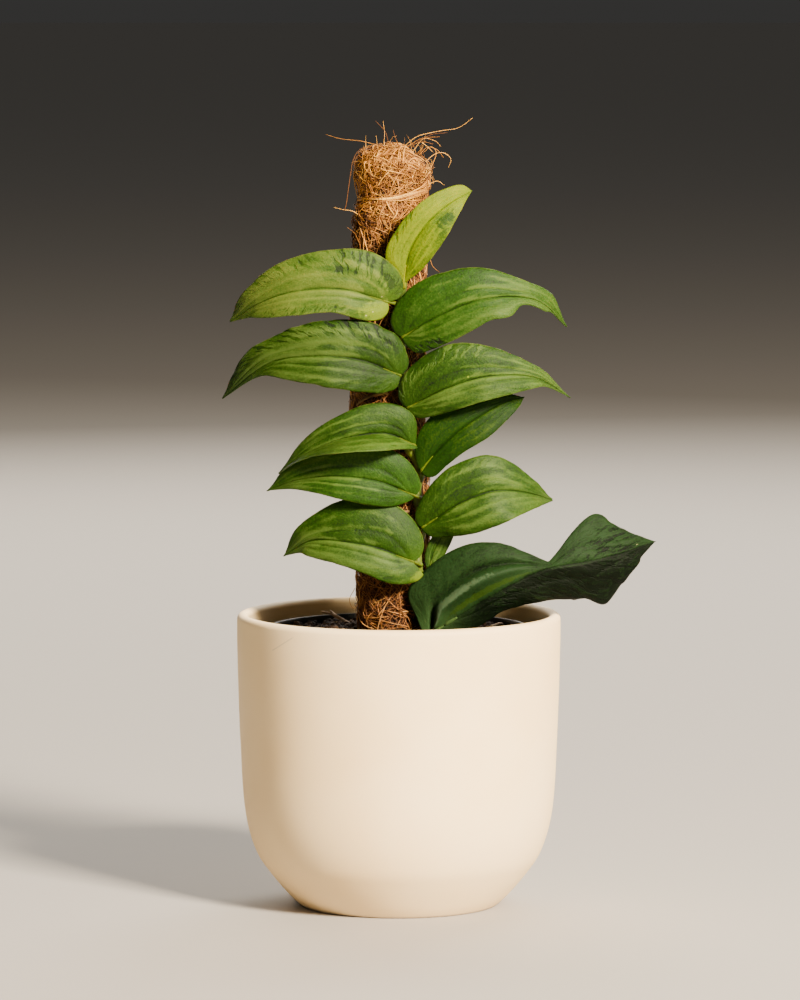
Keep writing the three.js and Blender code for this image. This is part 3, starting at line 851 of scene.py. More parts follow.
@dataclass
class CoverPot:
    """The ceramic pot: a straight wall that rounds in to a flat foot, with a half-round lip."""

    outside: tuple[tuple[float, float], ...] = (
        (44.5, 0), (46.2, 0.8), (51.6, 6), (59.4, 15.3), (65.3, 24.5),
        (69.6, 38.4), (71.7, 57), (73.3, 94), (74, 121),
    )
    height: float = 134.0
    wall: float = 5.3
    floor: float = 8.0
    corner: float = 8.0
    sides: int = 240
    waviness: float = 0.07
    waves: float = 16
    wave_height: float = 14

    def profile(self) -> Array:
        """The wall's section.

        Outside is the smooth line through the outside points, the lip a half circle of the wall's
        thickness, and inside the outside moved in by the wall, square to it, down to the floor.

        Returns:
            [radius, height] from the foot's middle over the lip to the floor's middle.
        """
        line = catmull(self.outside, np.linspace(0, 1, 60))
        ahead = unit(np.gradient(line, axis=0))
        turn = np.linspace(0, math.pi, 14)[:, None]
        half = self.wall / 2
        middle = np.array([self.outside[-1][0] - half, self.height - half])
        straight = np.linspace(line[-1], middle + [half, 0], 5)[1:-1]
        lip = middle + half * np.hstack([np.cos(turn), np.sin(turn)])
        inner = (line + self.wall * np.stack([-ahead[:, 1], ahead[:, 0]], -1))[::-1]
        inner = inner[inner[:, 1] > self.floor + self.corner]
        foot = inner[-1]
        bend = np.linspace(0, math.pi / 2, 8)[1:, None]
        centre = foot - [self.corner, 0]
        drop = np.array([1.0, (foot[1] - self.floor) / self.corner])
        corner = centre + self.corner * drop * np.hstack([np.cos(bend), -np.sin(bend)])
        under = np.linspace([0.5, 0], self.outside[0], 8)[:-1]
        inside_floor = np.linspace(corner[-1], [0.5, self.floor], 8)[1:]
        return np.vstack([under, line, straight, lip, inner, corner, inside_floor])

    def build(self) -> Piece:
        """Turn the section, with the slight unevenness of a cast wall."""
        profile = self.profile()
        radius, height = profile[:, :1], profile[:, 1:]
        waves = unevenness(around(self.sides, self.waves), height / self.wave_height, 5)
        swell = self.waviness * waves * ease(radius, 30, 60) * ease(height, 1, 12)
        shape = turned(profile, self.sides, Ends.CAPPED, swell=swell)
        # inside is 1 on the inner wall and floor, which the finish darkens with painted shade.
        past_lip = np.arange(len(profile)) - np.argmax(profile[:, 1])
        inside = ease(past_lip, 3, 9)
        shape.values["inside"] = np.repeat(inside, self.sides)
        return shape.make("cover_pot_glazed", CeramicFinish().material(), "cream_ceramic", ["cover_pot"])


@dataclass
class NurseryPot:
    """The black growing pot: a tapered wall, a stepped-out rim band and a floor with drain holes."""

    rim: float = 60.0
    base: float = 42.0
    top: float = 127.6
    band: float = 8.4
    step: float = 2.3
    wall: float = 1.4
    foot: float = 8.35
    floor: float = 1.65
    holes: int = 6
    hole: float = 4.0
    hole_ring: float = 26.0
    hub: float = 10.0
    per_hole: int = 64

    def wall_profile(self) -> Array:
        """The wall's section: straight from point to point, from the floor up, over the rim and down."""
        foot, low = self.foot, self.top - self.band
        thin = self.rim - self.step
        inside = self.base - self.wall
        up = [
            (self.base - 1, foot), (self.base - 0.3, foot + 0.25), (self.base, foot + 1),
            (thin - 0.4, low - 3), (thin, low - 2), (self.rim - 0.6, low - 0.3), (self.rim, low + 0.4),
            (self.rim, self.top - 1), (self.rim - 0.15, self.top - 0.3), (self.rim - 0.6, self.top),
            (self.rim - self.wall + 0.3, self.top), (self.rim - self.wall, self.top - 0.4),
            (self.rim - self.wall, low + 1.8), (thin - self.wall, low - 0.6),
            (thin - self.wall - 0.4, low - 2), (inside + 0.2, foot + self.floor + 1),
            (inside - 0.6, foot + self.floor),
        ]
        points = np.array(up, float)
        spans = np.linspace(0, len(points) - 1, 4 * (len(points) - 1) + 1)
        return np.stack([np.interp(spans, np.arange(len(points)), points[:, k]) for k in (0, 1)], -1)

    def floor_sector(self, radius: float, height: float) -> Array:
        """Grid of points on one hole's share of the floor.

        The share is the part of the ring between the hub and the outer edge that lies within half
        a hole's spacing. Its points go in straight lines from the hole's edge to the share's edge.

        Args:
            radius: the floor's outer radius.
            height: its height.

        Returns:
            Points as [step outwards, place round the hole, xyz].
        """
        quarter = self.per_hole // 4
        half = math.pi / self.holes
        swing = np.linspace(-half, half, quarter + 1)[:-1]
        outward = np.linspace(self.hub, radius, quarter + 1)[:-1]
        inward = outward[::-1] + (radius - self.hub) / quarter
        ring = np.concatenate([np.full(quarter, radius), inward, np.full(quarter, self.hub), outward])
        angle = np.concatenate([swing, np.full(quarter, half), -swing, np.full(quarter, -half)])
        edge = ring[:, None] * circle(angle)
        away = unit(edge - [self.hole_ring, 0])
        near = np.array([self.hole_ring, 0]) + self.hole * away
        steps = np.linspace(0, 1, 5)[:, None, None]
        return lifted(near + (edge - near) * steps, height)

    def build(self) -> Piece:
        """Join the turned wall, the hub and the sectors of the floor, and weld what coincides."""
        sides = self.holes * self.per_hole // 4
        profile = self.wall_profile()
        ring = circle(around(sides) - math.pi / self.holes)
        shapes = [net(lifted(profile[:, None, :1] * ring, profile[:, 1:]))]
        low = self.floor_sector(profile[0, 0], self.foot)
        high = self.floor_sector(profile[-1, 0], self.foot + self.floor)
        sector = net(np.concatenate([high[::-1], low]))
        for i in range(self.holes):
            spin = TURN * i / self.holes
            cos, sin = math.cos(spin), math.sin(spin)
            turn = np.array([[cos, sin, 0], [-sin, cos, 0], [0, 0, 1]])
            shapes.append(Shape(sector.points @ turn, sector.faces))
        for height, order in ((self.foot, -1), (self.foot + self.floor, 1)):
            shapes.append(Shape(lifted(self.hub * ring, height), [np.arange(sides)[None, ::order]]))
        return self.welded(Shape.joined(shapes)).make(
            "nursery_pot_moulded", PlasticFinish().material(), "black_plastic", ["nursery_pot"]
        )

    @staticmethod
    def welded(shape: Shape) -> Shape:
        """Merge points that lie within a thousandth of a millimetre of each other."""
        keys = np.round(shape.points, 3) + 0.0
        _, first, place = np.unique(keys, axis=0, return_index=True, return_inverse=True)
        place = place.reshape(-1)
        return Shape(shape.points[first], [place[faces] for faces in shape.faces])


# The soil


@dataclass
class Soil:
    """Potting mix: a crust of crumbs over the packed soil, with a few roots and slivers in it."""

    top: float = 123.4
    radius: float = 58.2
    pole_middle: float = -2.1
    pole_radius: float = 18.3
    crumbs: int = 3600
    slivers: int = 90
    cover: float = 0.9
    mound: float = 1.6
    clearance: float = 0.03

    def height(self, x: Array, y: Array) -> Array:
        """How high the crust stands: a low mound about the pole, plus broad and fine unevenness."""
        mound = self.mound * (1 - ease(np.hypot(x - self.pole_middle, y), 16, 44))
        broad = 0.5 * unevenness(x / 9, y / 9, 11)
        return self.top + self.cover + mound + broad + 0.35 * unevenness(x / 3, y / 3, 12)

    def crust(self) -> Shape:
        """A thin sheet from pole to nursery pot: rings that change from the one circle to the other."""
        ring = circle(around(160))
        part = np.linspace(0, 1, 40)[:, None, None]
        inner = np.array([self.pole_middle, 0]) + self.pole_radius * ring
        flat = inner + (self.radius * ring - inner) * part
        top = lifted(flat, self.height(flat[..., 0], flat[..., 1]))
        foot = lifted(flat, self.top + self.clearance)[::-1]
        shape = ringed(np.concatenate([top, foot]), Ends.JOINED)
        shape.values["tone"] = np.full(len(shape.points), 0.25)
        return shape

    def scattered(self, count: int, rng: np.random.Generator) -> Array:
        """Random places on the crust, evenly spread, clear of the pole."""
        far = self.radius * np.sqrt(rng.uniform(0, 1, 3 * count)) * 0.985
        angle = rng.uniform(0, TURN, 3 * count)
        flat = far[:, None] * circle(angle)
        clear = np.hypot(flat[:, 0] - self.pole_middle, flat[:, 1]) > self.pole_radius
        return flat[clear][:count]

    @staticmethod
    def turns(spins: Array) -> Array:
        """The turn that each quaternion of length one stands for, as three rows of three."""
        w, x, y, z = spins.T
        return np.stack([
            np.stack([1 - 2 * (y * y + z * z), 2 * (x * y - z * w), 2 * (x * z + y * w)], -1),
            np.stack([2 * (x * y + z * w), 1 - 2 * (x * x + z * z), 2 * (y * z - x * w)], -1),
            np.stack([2 * (x * z - y * w), 2 * (y * z + x * w), 1 - 2 * (x * x + y * y)], -1),
        ], 1)

    def lumps(self) -> Shape:
        """Crumbs: twenty-sided solids with each corner moved, stretched and turned at random."""
        rng = np.random.default_rng(21)
        gold = (1 + math.sqrt(5)) / 2
        corners = unit(np.array([(-1, gold, 0), (1, gold, 0), (-1, -gold, 0), (1, -gold, 0),
                                 (0, -1, gold), (0, 1, gold), (0, -1, -gold), (0, 1, -gold),
                                 (gold, 0, -1), (gold, 0, 1), (-gold, 0, -1), (-gold, 0, 1)], float))
        faces = np.array([(0, 11, 5), (0, 5, 1), (0, 1, 7), (0, 7, 10), (0, 10, 11),
                          (1, 5, 9), (5, 11, 4), (11, 10, 2), (10, 7, 6), (7, 1, 8),
                          (3, 9, 4), (3, 4, 2), (3, 2, 6), (3, 6, 8), (3, 8, 9),
                          (4, 9, 5), (2, 4, 11), (6, 2, 10), (8, 6, 7), (9, 8, 1)])
        place = self.scattered(self.crumbs, rng)
        count = len(place)
        size = 0.35 + 1.5 * rng.uniform(0, 1, count) ** 3
        stretch = rng.uniform(0.6, 1.25, (count, 1, 3))
        body = corners * (1 + rng.uniform(-0.3, 0.3, (count, 12, 1))) * stretch * size[:, None, None]
        body = np.einsum("nij,nkj->nki", self.turns(unit(rng.normal(size=(count, 4)))), body)
        height = self.height(place[:, 0], place[:, 1]) + size * rng.uniform(-0.1, 0.55, count)
        body += lifted(place, height)[:, None]
        index = faces + (np.arange(count) * 12)[:, None, None]
        tone = np.repeat(rng.beta(1.6, 2.6, count), 12)
        return Shape(body.reshape(-1, 3), [index.reshape(-1, 3)], None, {"tone": tone})

    def shreds(self) -> Shape:
        """Short roots and slivers that lie on the crumbs, each a thin strand whose heading drifts."""
        rng = np.random.default_rng(22)
        place = self.scattered(self.slivers, rng)
        count, steps = len(place), 7
        length = rng.uniform(3, 13, count)
        drift = np.linspace(0, 1, steps)
        heading = rng.uniform(0, TURN, count)[:, None] + drift * rng.normal(0, 1.2, (count, 1))
        step = length[:, None, None] / (steps - 1)
        flat = place[:, None] + np.cumsum(circle(heading) * step, 1) - step * (steps // 2)
        within = (self.radius - 0.8) / np.hypot(flat[..., 0], flat[..., 1])
        flat = flat * np.minimum(1, within)[..., None]
        arch = rng.uniform(0, 0.8, (count, 1)) * np.sin(math.pi * drift)
        paths = lifted(flat, self.height(flat[..., 0], flat[..., 1]) + 0.7 + arch)
        radius = rng.uniform(0.12, 0.4, (count, 1)) * (1 - 0.5 * np.abs(2 * drift - 1))
        return strands(paths, radius, 4, (0, 0, 1), rng.uniform(0.5, 1.0, (count, 1)))

    def build(self) -> None:
        """Make the crust, its crumbs and its shreds, and finish the packed soil below."""
        finish = SoilFinish().material()
        self.crust().make("soil_crust", finish, "soil")
        self.lumps().make("soil_crumbs", finish, "soil")
        pale = SoilFinish("soil_shreds", tint("#4a3522"), tint("#8a6a45"), tint("#c2a277"))
        self.shreds().make("soil_shreds", pale.material(), "soil")
        refinish("potting_soil", finish)


# The pole


@dataclass
class CoirPole:
    """A stake wrapped in matted coconut fibre, tied off near its top with a strand of pale fibre."""

    line: tuple[tuple[float, float], ...] = (
        (-2.1, 60), (-2.1, 128), (-3.9, 195), (-5.2, 232), (-4.6, 280), (-3.4, 312), (-2.6, 328),
    )
    foot: float = 60.0
    mat_top: float = 328.0
    radius: float = 16.9
    bore: float = 8.4
    head_foot: float = 329.6
    head_top: float = 346.0
    neck_height: float = 324.4
    neck_pinch: float = 1.7
    slump: float = 5.0
    sides: int = 96
    lumps: float = 32

    def middle(self, z: Any) -> Array:
        """The pole's middle at a height, read off its line."""
        fine = catmull(self.line, np.linspace(0, 1, 400))
        return np.interp(z, fine[:, 1], fine[:, 0])

    def girth(self, z: Any) -> Array:
        """The mat's radius at a height: pinched at the neck, and rounded off at the top of the head."""
        z = np.asarray(z, float)
        pinch = self.neck_pinch * bell(z, self.neck_height, 5.5)
        over = ease(z, self.head_top - 9, self.head_top + 0.5)
        return (self.radius - pinch) * np.sqrt(np.clip(1 - over**2.2, 0.02, 1))

    def core(self) -> Shape:
        """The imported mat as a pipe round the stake: outer rings up, then inner rings down."""
        z = np.linspace(self.foot, self.mat_top, 150)
        outer = np.stack([self.girth(z) - 1.6, z], -1)
        inner = np.linspace([self.bore, self.mat_top], [self.bore, self.foot], 30)
        profile = np.vstack([outer, inner])
        angle, height = around(self.sides, self.lumps), profile[:, 1:]
        rough = unevenness(angle, height / 3.2, 31) * 0.55 + unevenness(angle * 2, height / 1.6, 32) * 0.3
        rough[len(z):] = 0
        return turned(profile, self.sides, Ends.JOINED, self.middle(profile[:, 1]), rough)

    def head_core(self) -> Shape:
        """The head's packed mat: rings from its foot, ever closer, to a domed top."""
        below_top = 1 - np.sin(np.linspace(0, math.pi / 2, 40))
        z = self.head_top - 2.2 - (self.head_top - self.head_foot) * below_top
        profile = np.stack([self.girth(z) - 1.5, z], -1)
        base = np.linspace([0.5, z[0]], profile[0], 6)[:-1]
        crown = np.linspace(profile[-1], [0.5, z[-1] + 0.5], 8)[1:]
        profile = np.vstack([base, profile, crown])
        rough = unevenness(around(self.sides, self.lumps), profile[:, 1:] / 2.8, 33)
        rough = rough * 0.6 * ease(profile[:, :1], 2, 12)
        return turned(profile, self.sides, Ends.CAPPED, self.middle(self.mat_top), rough)

    def off_pole(self, bearing: Array, height: Array, off: Array, z: Array) -> Array:
        """Points off the pole: the middle plus the girth and the distance off at a height, at a bearing."""
        reach = self.girth(height) + off
        return np.stack([self.middle(height) + reach * np.sin(bearing), -reach * np.cos(bearing), z], -1)

    def outward(self, paths: Array) -> Array:
        """Level directions from the pole's middle to the points."""
        out = paths.copy()
        out[..., 0] -= self.middle(paths[..., 2])
        out[..., 2] = 0
        return unit(out)

    def matted(self, count: int, low: float, high: float, seed: int, thin: float = 0.19) -> Shape:
        """Many short strands combed over the mat in swirls.

        A strand's heading follows a smooth random field over the mat, with a share of its own. Its
        bearing grows by the cosine of the heading, its height by the sine. It stands off the mat by
        its own layer, rises in the middle and dips at both ends.

        Args:
            count: how many.
            low: lowest start.
            high: highest start.
            seed: chooses them.
            thin: mean radius of a strand.

        Returns:
            The strands, with each one's tone.
        """
        rng = np.random.default_rng(seed)
        steps = 5
        part = np.linspace(0, 1, steps)
        length = 5 + 17 * rng.uniform(0, 1, (count, 1)) ** 1.5
        height = rng.uniform(low, high, (count, 1))
        bearing = rng.uniform(0, TURN, (count, 1))
        swirls = unevenness(bearing / TURN * 16, height / 9, 65)
        swirls = swirls + 0.5 * unevenness(bearing / TURN * 32, height / 5, 66)
        heading = 3.4 * swirls + rng.normal(0, 0.55, (count, 1))
        heading = heading + rng.normal(0, 0.6, (count, 1)) * (part - 0.5)
        step = length / (steps - 1)
        height = height + (np.cumsum(np.sin(heading), 1) - steps // 2) * step
        height = np.clip(height, self.foot + 2, self.head_top - 1.5)
        bearing = bearing + (np.cumsum(np.cos(heading), 1) - steps // 2) * step / self.radius
        layer = rng.uniform(-1.1, 0.35, (count, 1))
        loose = np.where(rng.uniform(0, 1, (count, 1)) < 0.05, rng.uniform(0.4, 1.6, (count, 1)), 0.2)
        lump = 0.45 * unevenness(bearing / TURN * 24, height / 5, 67)
        dip = 0.5 * np.abs(2 * part - 1) ** 3
        off = layer + lump + loose * np.sin(math.pi * part) - dip
        radius = thin * rng.uniform(0.5, 1.5, (count, 1)) * (1 - dip)
        paths = self.off_pole(bearing, height, off, height)
        # Strands that lie deeper in the mat get a darker tone: painted shade.
        tone = np.clip(rng.beta(2.4, 2.0, (count, 1)) + 0.2 * layer, 0, 1)
        return strands(paths, radius, 3, self.outward(paths), tone)

    def over_head(self, count: int, seed: int) -> Shape:
        """Strands that cross the top of the head and hang over its shoulder.

        Each is a bent line on a flat disc. Where the disc is wider than the head, the rest of it
        is laid down the head's side.

        Args:
            count: how many.
            seed: chooses them.

        Returns:
            The strands, with each one's tone.
        """
        rng = np.random.default_rng(seed)
        steps = 8
        part = np.linspace(-0.5, 0.5, steps)
        start = rng.uniform(-15, 15, (count, 2))
        heading = rng.uniform(0, TURN, (count, 1)) + rng.normal(0, 1.0, (count, 1)) * part
        path = circle(heading) * (rng.uniform(10, 32, (count, 1)) / (steps - 1))[..., None]
        half = steps // 2
        flat = start[:, None] + np.cumsum(path, 1) - path[:, half - 1 : half] * half
        x, y = flat[..., 0], flat[..., 1]
        far = np.hypot(x, y)
        edge = self.radius - 1.0
        level = np.minimum(far, edge)
        z = self.head_top - 1.6 - 2.6 * (level / edge) ** 4 - np.maximum(far - edge, 0)
        z = z + 1.3 * unevenness(x / 7, y / 7, 68) + rng.uniform(-1.4, 0.7, (count, 1))
        z = z + 3.4 * rng.uniform(0, 1, (count, 1)) ** 4 * np.cos(math.pi * part)
        grow = level / np.maximum(far, 1e-6)
        middle = self.middle(self.mat_top)
        paths = np.stack([x * grow + middle, y * grow, z], -1)
        radius = 0.2 * rng.uniform(0.6, 1.5, (count, 1)) * (1 - 0.5 * np.abs(2 * part) ** 3)
        out = unit(paths - np.array([middle, 0, self.head_top - 14]))
        return strands(paths, radius, 3, out, np.clip(rng.beta(2.4, 2.0, (count, 1)), 0, 1))

    def slumped(self, shape: Shape) -> Shape:
        """The head's shape with its right side sunk: less the drop times s-curves of x and height."""
        x, z = shape.points[:, 0], shape.points[:, 2]
        sunk = self.slump * ease(x, -1, 16) * ease(z, 331, self.head_top)
        shape.points[:, 2] = z - sunk + 0.25 * self.slump * bell(x, -4, 5) * ease(z, 338, self.head_top)
        return shape

    def neck(self) -> Shape:
        """Pale strands wound round the neck.

        Each starts at the front left and sweeps round by its own angle. S-curves of the bearing
        spread them and raise them at the right.

        Returns:
            The strands, with their tones.
        """
        rng = np.random.default_rng(41)
        count, steps = 34, 30
        part = np.linspace(0, 1, steps)
        start = rng.uniform(-2.6, 0.4, (count, 1))
        bearing = start + rng.uniform(1.6, 4.6, (count, 1)) * part
        spread = rng.normal(0, 1, (count, 1))
        wide = 0.7 + 2.0 * ease(bearing, 0.0, 1.6) * (1 - ease(bearing, 2.2, 3.4))
        rise = 4.4 * ease(bearing, -0.1, 1.5) * (1 - ease(bearing, 2.0, 3.6))
        height = self.neck_height - 0.4 + spread * wide + rise + 0.5 * np.sin(bearing * 3 + spread * 2)
        dip = np.abs(2 * part - 1) ** 4
        off = 0.15 + 0.35 * rng.uniform(0, 1, (count, 1)) + 0.32 * np.sin(math.pi * part) ** 2 - 0.8 * dip
        paths = self.off_pole(bearing, height, off, height)
        radius = rng.uniform(0.1, 0.22, (count, 1)) * (1 - 0.5 * dip)
        bright = rng.uniform(0.3, 1.0, (count, 1)) - 0.35 * ease(bearing, 0.5, 1.4)
        return strands(paths, radius, 5, self.outward(paths), bright)

    def strays(self) -> Shape:
        """Loose strands that stand out, each a smooth line through points given as x, y, z."""
        lines = (
            ((-4, -6, 345), (-9, -9, 347.5), (-17, -9, 349.6), (-26, -8, 350.6), (-33, -7, 352.6)),
            ((-5.6, -9, 344), (-6.6, -9.5, 349), (-6.4, -10, 353), (-7, -10, 358.6)),
            ((-1, -8, 344.5), (-4.4, -9, 349), (-6.2, -9.5, 354), (-10.4, -10, 358.8)),
            ((0, -7, 345), (4, -9, 348.5), (9, -10, 352), (18.6, -9, 354.2), (27, -7, 355.6),
             (33.5, -6, 360)),
            ((1, -7, 345), (6, -8, 348.5), (11, -9, 351), (18.6, -9, 351.6)),
            ((1.5, -5, 345), (6, -6, 348), (11, -7, 349.2), (15.8, -7, 348.2)),
            ((10.5, -8, 349), (13, -9, 347), (15.6, -9, 344.6)),
            ((-12, -10, 344), (-9.5, -11, 347.5), (-4, -10, 347), (1, -9, 344.8)),
            ((-12, -9, 343), (-15.6, -9, 345), (-16.6, -9, 341)),
            ((14, -6, 336), (17, -6, 344), (14.5, -5, 347), (11, -5, 344)),
            ((-24.5, -9, 318.5), (-23.6, -10, 322), (-22.2, -10, 332), (-20.6, -9, 341), (-17.4, -8, 346),
             (-12, -6, 347)),
            ((-18.5, -9, 316.5), (-21, -9, 318), (-25, -9, 318.6), (-29.5, -8, 319.6)),
            ((-18, -11, 304), (-20, -12, 308), (-23.5, -12, 311)),
            ((14, -12, 297), (15.5, -13, 293), (18.5, -13, 290.5)),
            ((13, -11, 330), (17.5, -11, 331.6), (20.5, -10, 329.8)),
            ((4, -8, 345), (9, -9, 349.5), (15, -9, 352.6), (22, -8, 353.4)),
            ((6, -6, 344), (11, -7, 350.5), (16.5, -7, 349.6), (19, -6, 347.2)),
            ((9, -8, 343), (13, -9, 346.8), (17.5, -9, 345.6), (20.5, -8, 342)),
            ((2, -9, 344), (-1, -10, 350), (-2.6, -10, 354.6)),
            ((12, -7, 340), (16, -8, 343.5), (20, -8, 344.4), (23.6, -7, 341.6), (22.5, -6, 337.5)),
            ((-14, -9, 340), (-18.6, -9, 343), (-20.4, -9, 338)),
            ((-20, -8, 146), (-22.4, -9, 141), (-20.5, -10, 137), (-17.5, -11, 141)),
        )
        paths = np.array([catmull(line, np.linspace(0, 1, 26)) for line in lines])
        tones = 0.62 + 0.3 * np.sin(2.4 * np.arange(len(lines)))
        loose = strands(paths, np.linspace(0.17, 0.06, 26), 4, (0.13, 1, 0.05), tones[:, None])
        return Shape.joined([loose, self.wisps()])

    def wisps(self) -> Shape:
        """Fine hairs that lean out all over the pole, farther along their length, more at the head."""
        rng = np.random.default_rng(51)
        count, steps = 420, 7
        part = np.linspace(0, 1, steps)
        crowded = rng.uniform(0, 1, (count, 1)) < 0.45
        low = np.where(crowded, rng.uniform(328, 344, (count, 1)), rng.uniform(126, 326, (count, 1)))
        bearing = rng.uniform(0, TURN, (count, 1)) + part * rng.normal(0, 0.55, (count, 1))
        height = low + part * rng.normal(1.5, 5, (count, 1))
        off = -0.6 + part * rng.uniform(1, 5.5, (count, 1)) * (1 - 0.4 * part)
        height = np.clip(height, 100, self.head_top + 6)
        paths = self.off_pole(bearing, np.clip(height, self.foot, self.head_top - 3), off, height)
        radius = rng.uniform(0.05, 0.12, (count, 1)) * (1 - 0.6 * part)
        return strands(paths, radius, 3, (0.31, 0.22, 0.92), rng.uniform(0.45, 1.0, (count, 1)))

    def build(self) -> None:
        """Make the mat, the head, the strands over both, the tie and the loose strands."""
        mat = MatFinish().material()
        coir, gold, pale = (
            FibreFinish(name, *(tint(code) for code in codes)).material()
            for name, codes in (
                ("coir", ("#170b03", "#55300f", "#8c5a24", "#bf8a48")),
                ("golden_coir", ("#1c0b01", "#6a3d0c", "#a86f20", "#e2aa4c")),
                ("pale_strand", ("#4a2806", "#8a5614", "#c48a2e", "#e8bc5c")),
            )
        )
        self.core().make("pole_mat", mat, "coir", ["coir_pole"])
        self.matted(4800, 112, 218, 61).make("pole_strands_low", coir, "coir")
        self.matted(5400, 212, 330, 62).make("pole_strands_high", coir, "coir")
        self.slumped(self.head_core()).make("head_mat", mat, "coir_head", ["coir_pole_head"])
        head = Shape.joined([self.matted(2400, 316, 344, 63, 0.2), self.over_head(900, 64)])
        self.slumped(head).make("head_strands", gold, "coir_head")
        self.neck().make("neck_tie", pale, "pale_strand", ["neck_strand"])
        self.strays().make("loose_strands", gold, "coir_head")
        refinish("pole_stake", WoodFinish("stake_wood", tint("#9b7b4e"), tint("#6c4e29")).material())


# The plant


@dataclass
class Stem:
    """The climbing stem on the pole's front, swollen where the leaves leave it."""

    pole: CoirPole
    line: tuple[tuple[float, float], ...] = (
        (15.5, 112), (14.6, 128), (11.6, 147), (8.4, 159), (10.5, 175.5), (8.3, 190),
        (9.6, 201.5), (4, 213), (3.6, 230), (0.9, 244.5), (1.5, 262), (1.1, 278), (2, 289),
    )
    radius: float = 2.2
    seat: float = 18.15
    sides: int = 18

    def path(self, count: int) -> Array:
        """Points of the stem's middle: as far in front of the pole as its circle needs at that x."""
        flat = catmull(self.line, np.linspace(0, 1, count))
        across = flat[:, 0] - self.pole.middle(flat[:, 1])
        reach = self.seat + self.radius
        return np.stack([flat[:, 0], -np.sqrt(reach**2 - across**2), flat[:, 1]], -1)

    def at_height(self, z: float) -> Array:
        """The stem's middle at a height."""
        line = self.path(800)
        return np.array([np.interp(z, line[:, 2], line[:, k]) for k in range(3)])

    def build(self, heights: Sequence[float]) -> None:
        """Make the stem, its aerial roots, and finish the roots in the soil.

        Args:
            heights: where leaves leave it.
        """
        steps = 240
        path = self.path(steps)
        z = path[:, 2]
        swell = sum(bell(z, height - 1.5, 3.0) for height in heights)
        girth = self.radius * (0.86 + 0.2 * np.clip(swell, 0, 1)) + 0.06 * unevenness(z / 4, 0.5, 71)
        place = np.arange(steps)
        girth = girth * np.sqrt(ease(place, -2, 5) * (1 - ease(place, steps - 5, steps + 1)))
        shape = strands(path[None], np.maximum(girth, 0.3)[None], self.sides, (1, 0, 0))
        skin = SkinFinish("stem_skin", tint("#4e5c14"), tint("#37480c"), tint("#43371a"), 0.5)
        shape.make("climbing_stem", skin.material(), "stem_skin", ["stem"])
        clinging = SkinFinish("aerial_root_skin", tint("#8b7140"), tint("#5d4526"), tint("#3a2a18"), 0.8, 0.7)
        finish = clinging.material()
        for i, root in enumerate(AERIAL_ROOTS, 1):
            shape = self.clinging_root(i, *root)
            shape.make(f"clinging_root_{i}", finish, "aerial_root_skin", [f"aerial_root_{i}"])
        pale = SkinFinish("root_skin", tint("#d8c8a0"), tint("#b89f70"), tint("#8a7048"), 0.6, 0.75)
        refinish("soil_roots", pale.material())

    def clinging_root(self, number: int, height: float, start: float, stop: float, drop: float) -> Shape:
        """A root laid round the pole: its bearing changes evenly, and it drops by the square of the way.

        Args:
            number: which one, for its own unevenness.
            height: where it leaves the stem.
            start: its first bearing from the front, in degrees.
            stop: its last.
            drop: how far its end lies below its start.

        Returns:
            The root.
        """
        part = np.linspace(0, 1, 40)
        z = height - drop * part**2
        bearing = np.radians(start + (stop - start) * part)
        reach = self.seat + 0.55 + 0.12 * unevenness(part * 9, number, 72)
        path = np.stack([self.pole.middle(z) + np.sin(bearing) * reach, -np.cos(bearing) * reach, z], -1)
        thick = 0.75 - 0.3 * part + 0.08 * unevenness(part * 14, number + 0.5, 73)
        thick = thick * np.sqrt(1 - ease(part, 0.94, 1.03))
        return strands(path[None], thick[None], 9, (0, 0, 1))


# Height on the pole, bearings round it from the front in degrees, and drop of each aerial root
AERIAL_ROOTS = ((152, 60, 112, 9), (182, 26, -24, 7), (207, 57, 108, 8), (236, 1, -48, 6), (268, 34, 88, 8))

LEFT_FACE = ((0, -1, -0.08), (-0.08, -1, 0.14), (-0.6, -1, 0.35))
RIGHT_FACE = ((0, -1, -0.08), (0.08, -1, 0.14), (0.6, -1, 0.35))
LEAF_BASE_FACE = (0, -1, 0.12)


@dataclass(frozen=True)
class Hatch:
    """A patch of slanting lines of painted wrinkle shade on a blade: its reach along and across, and how dark
    they are; a negative strength paints them light.
    """

    u: tuple[float, float]
    s: tuple[float, float]
    strength: float = 0.3


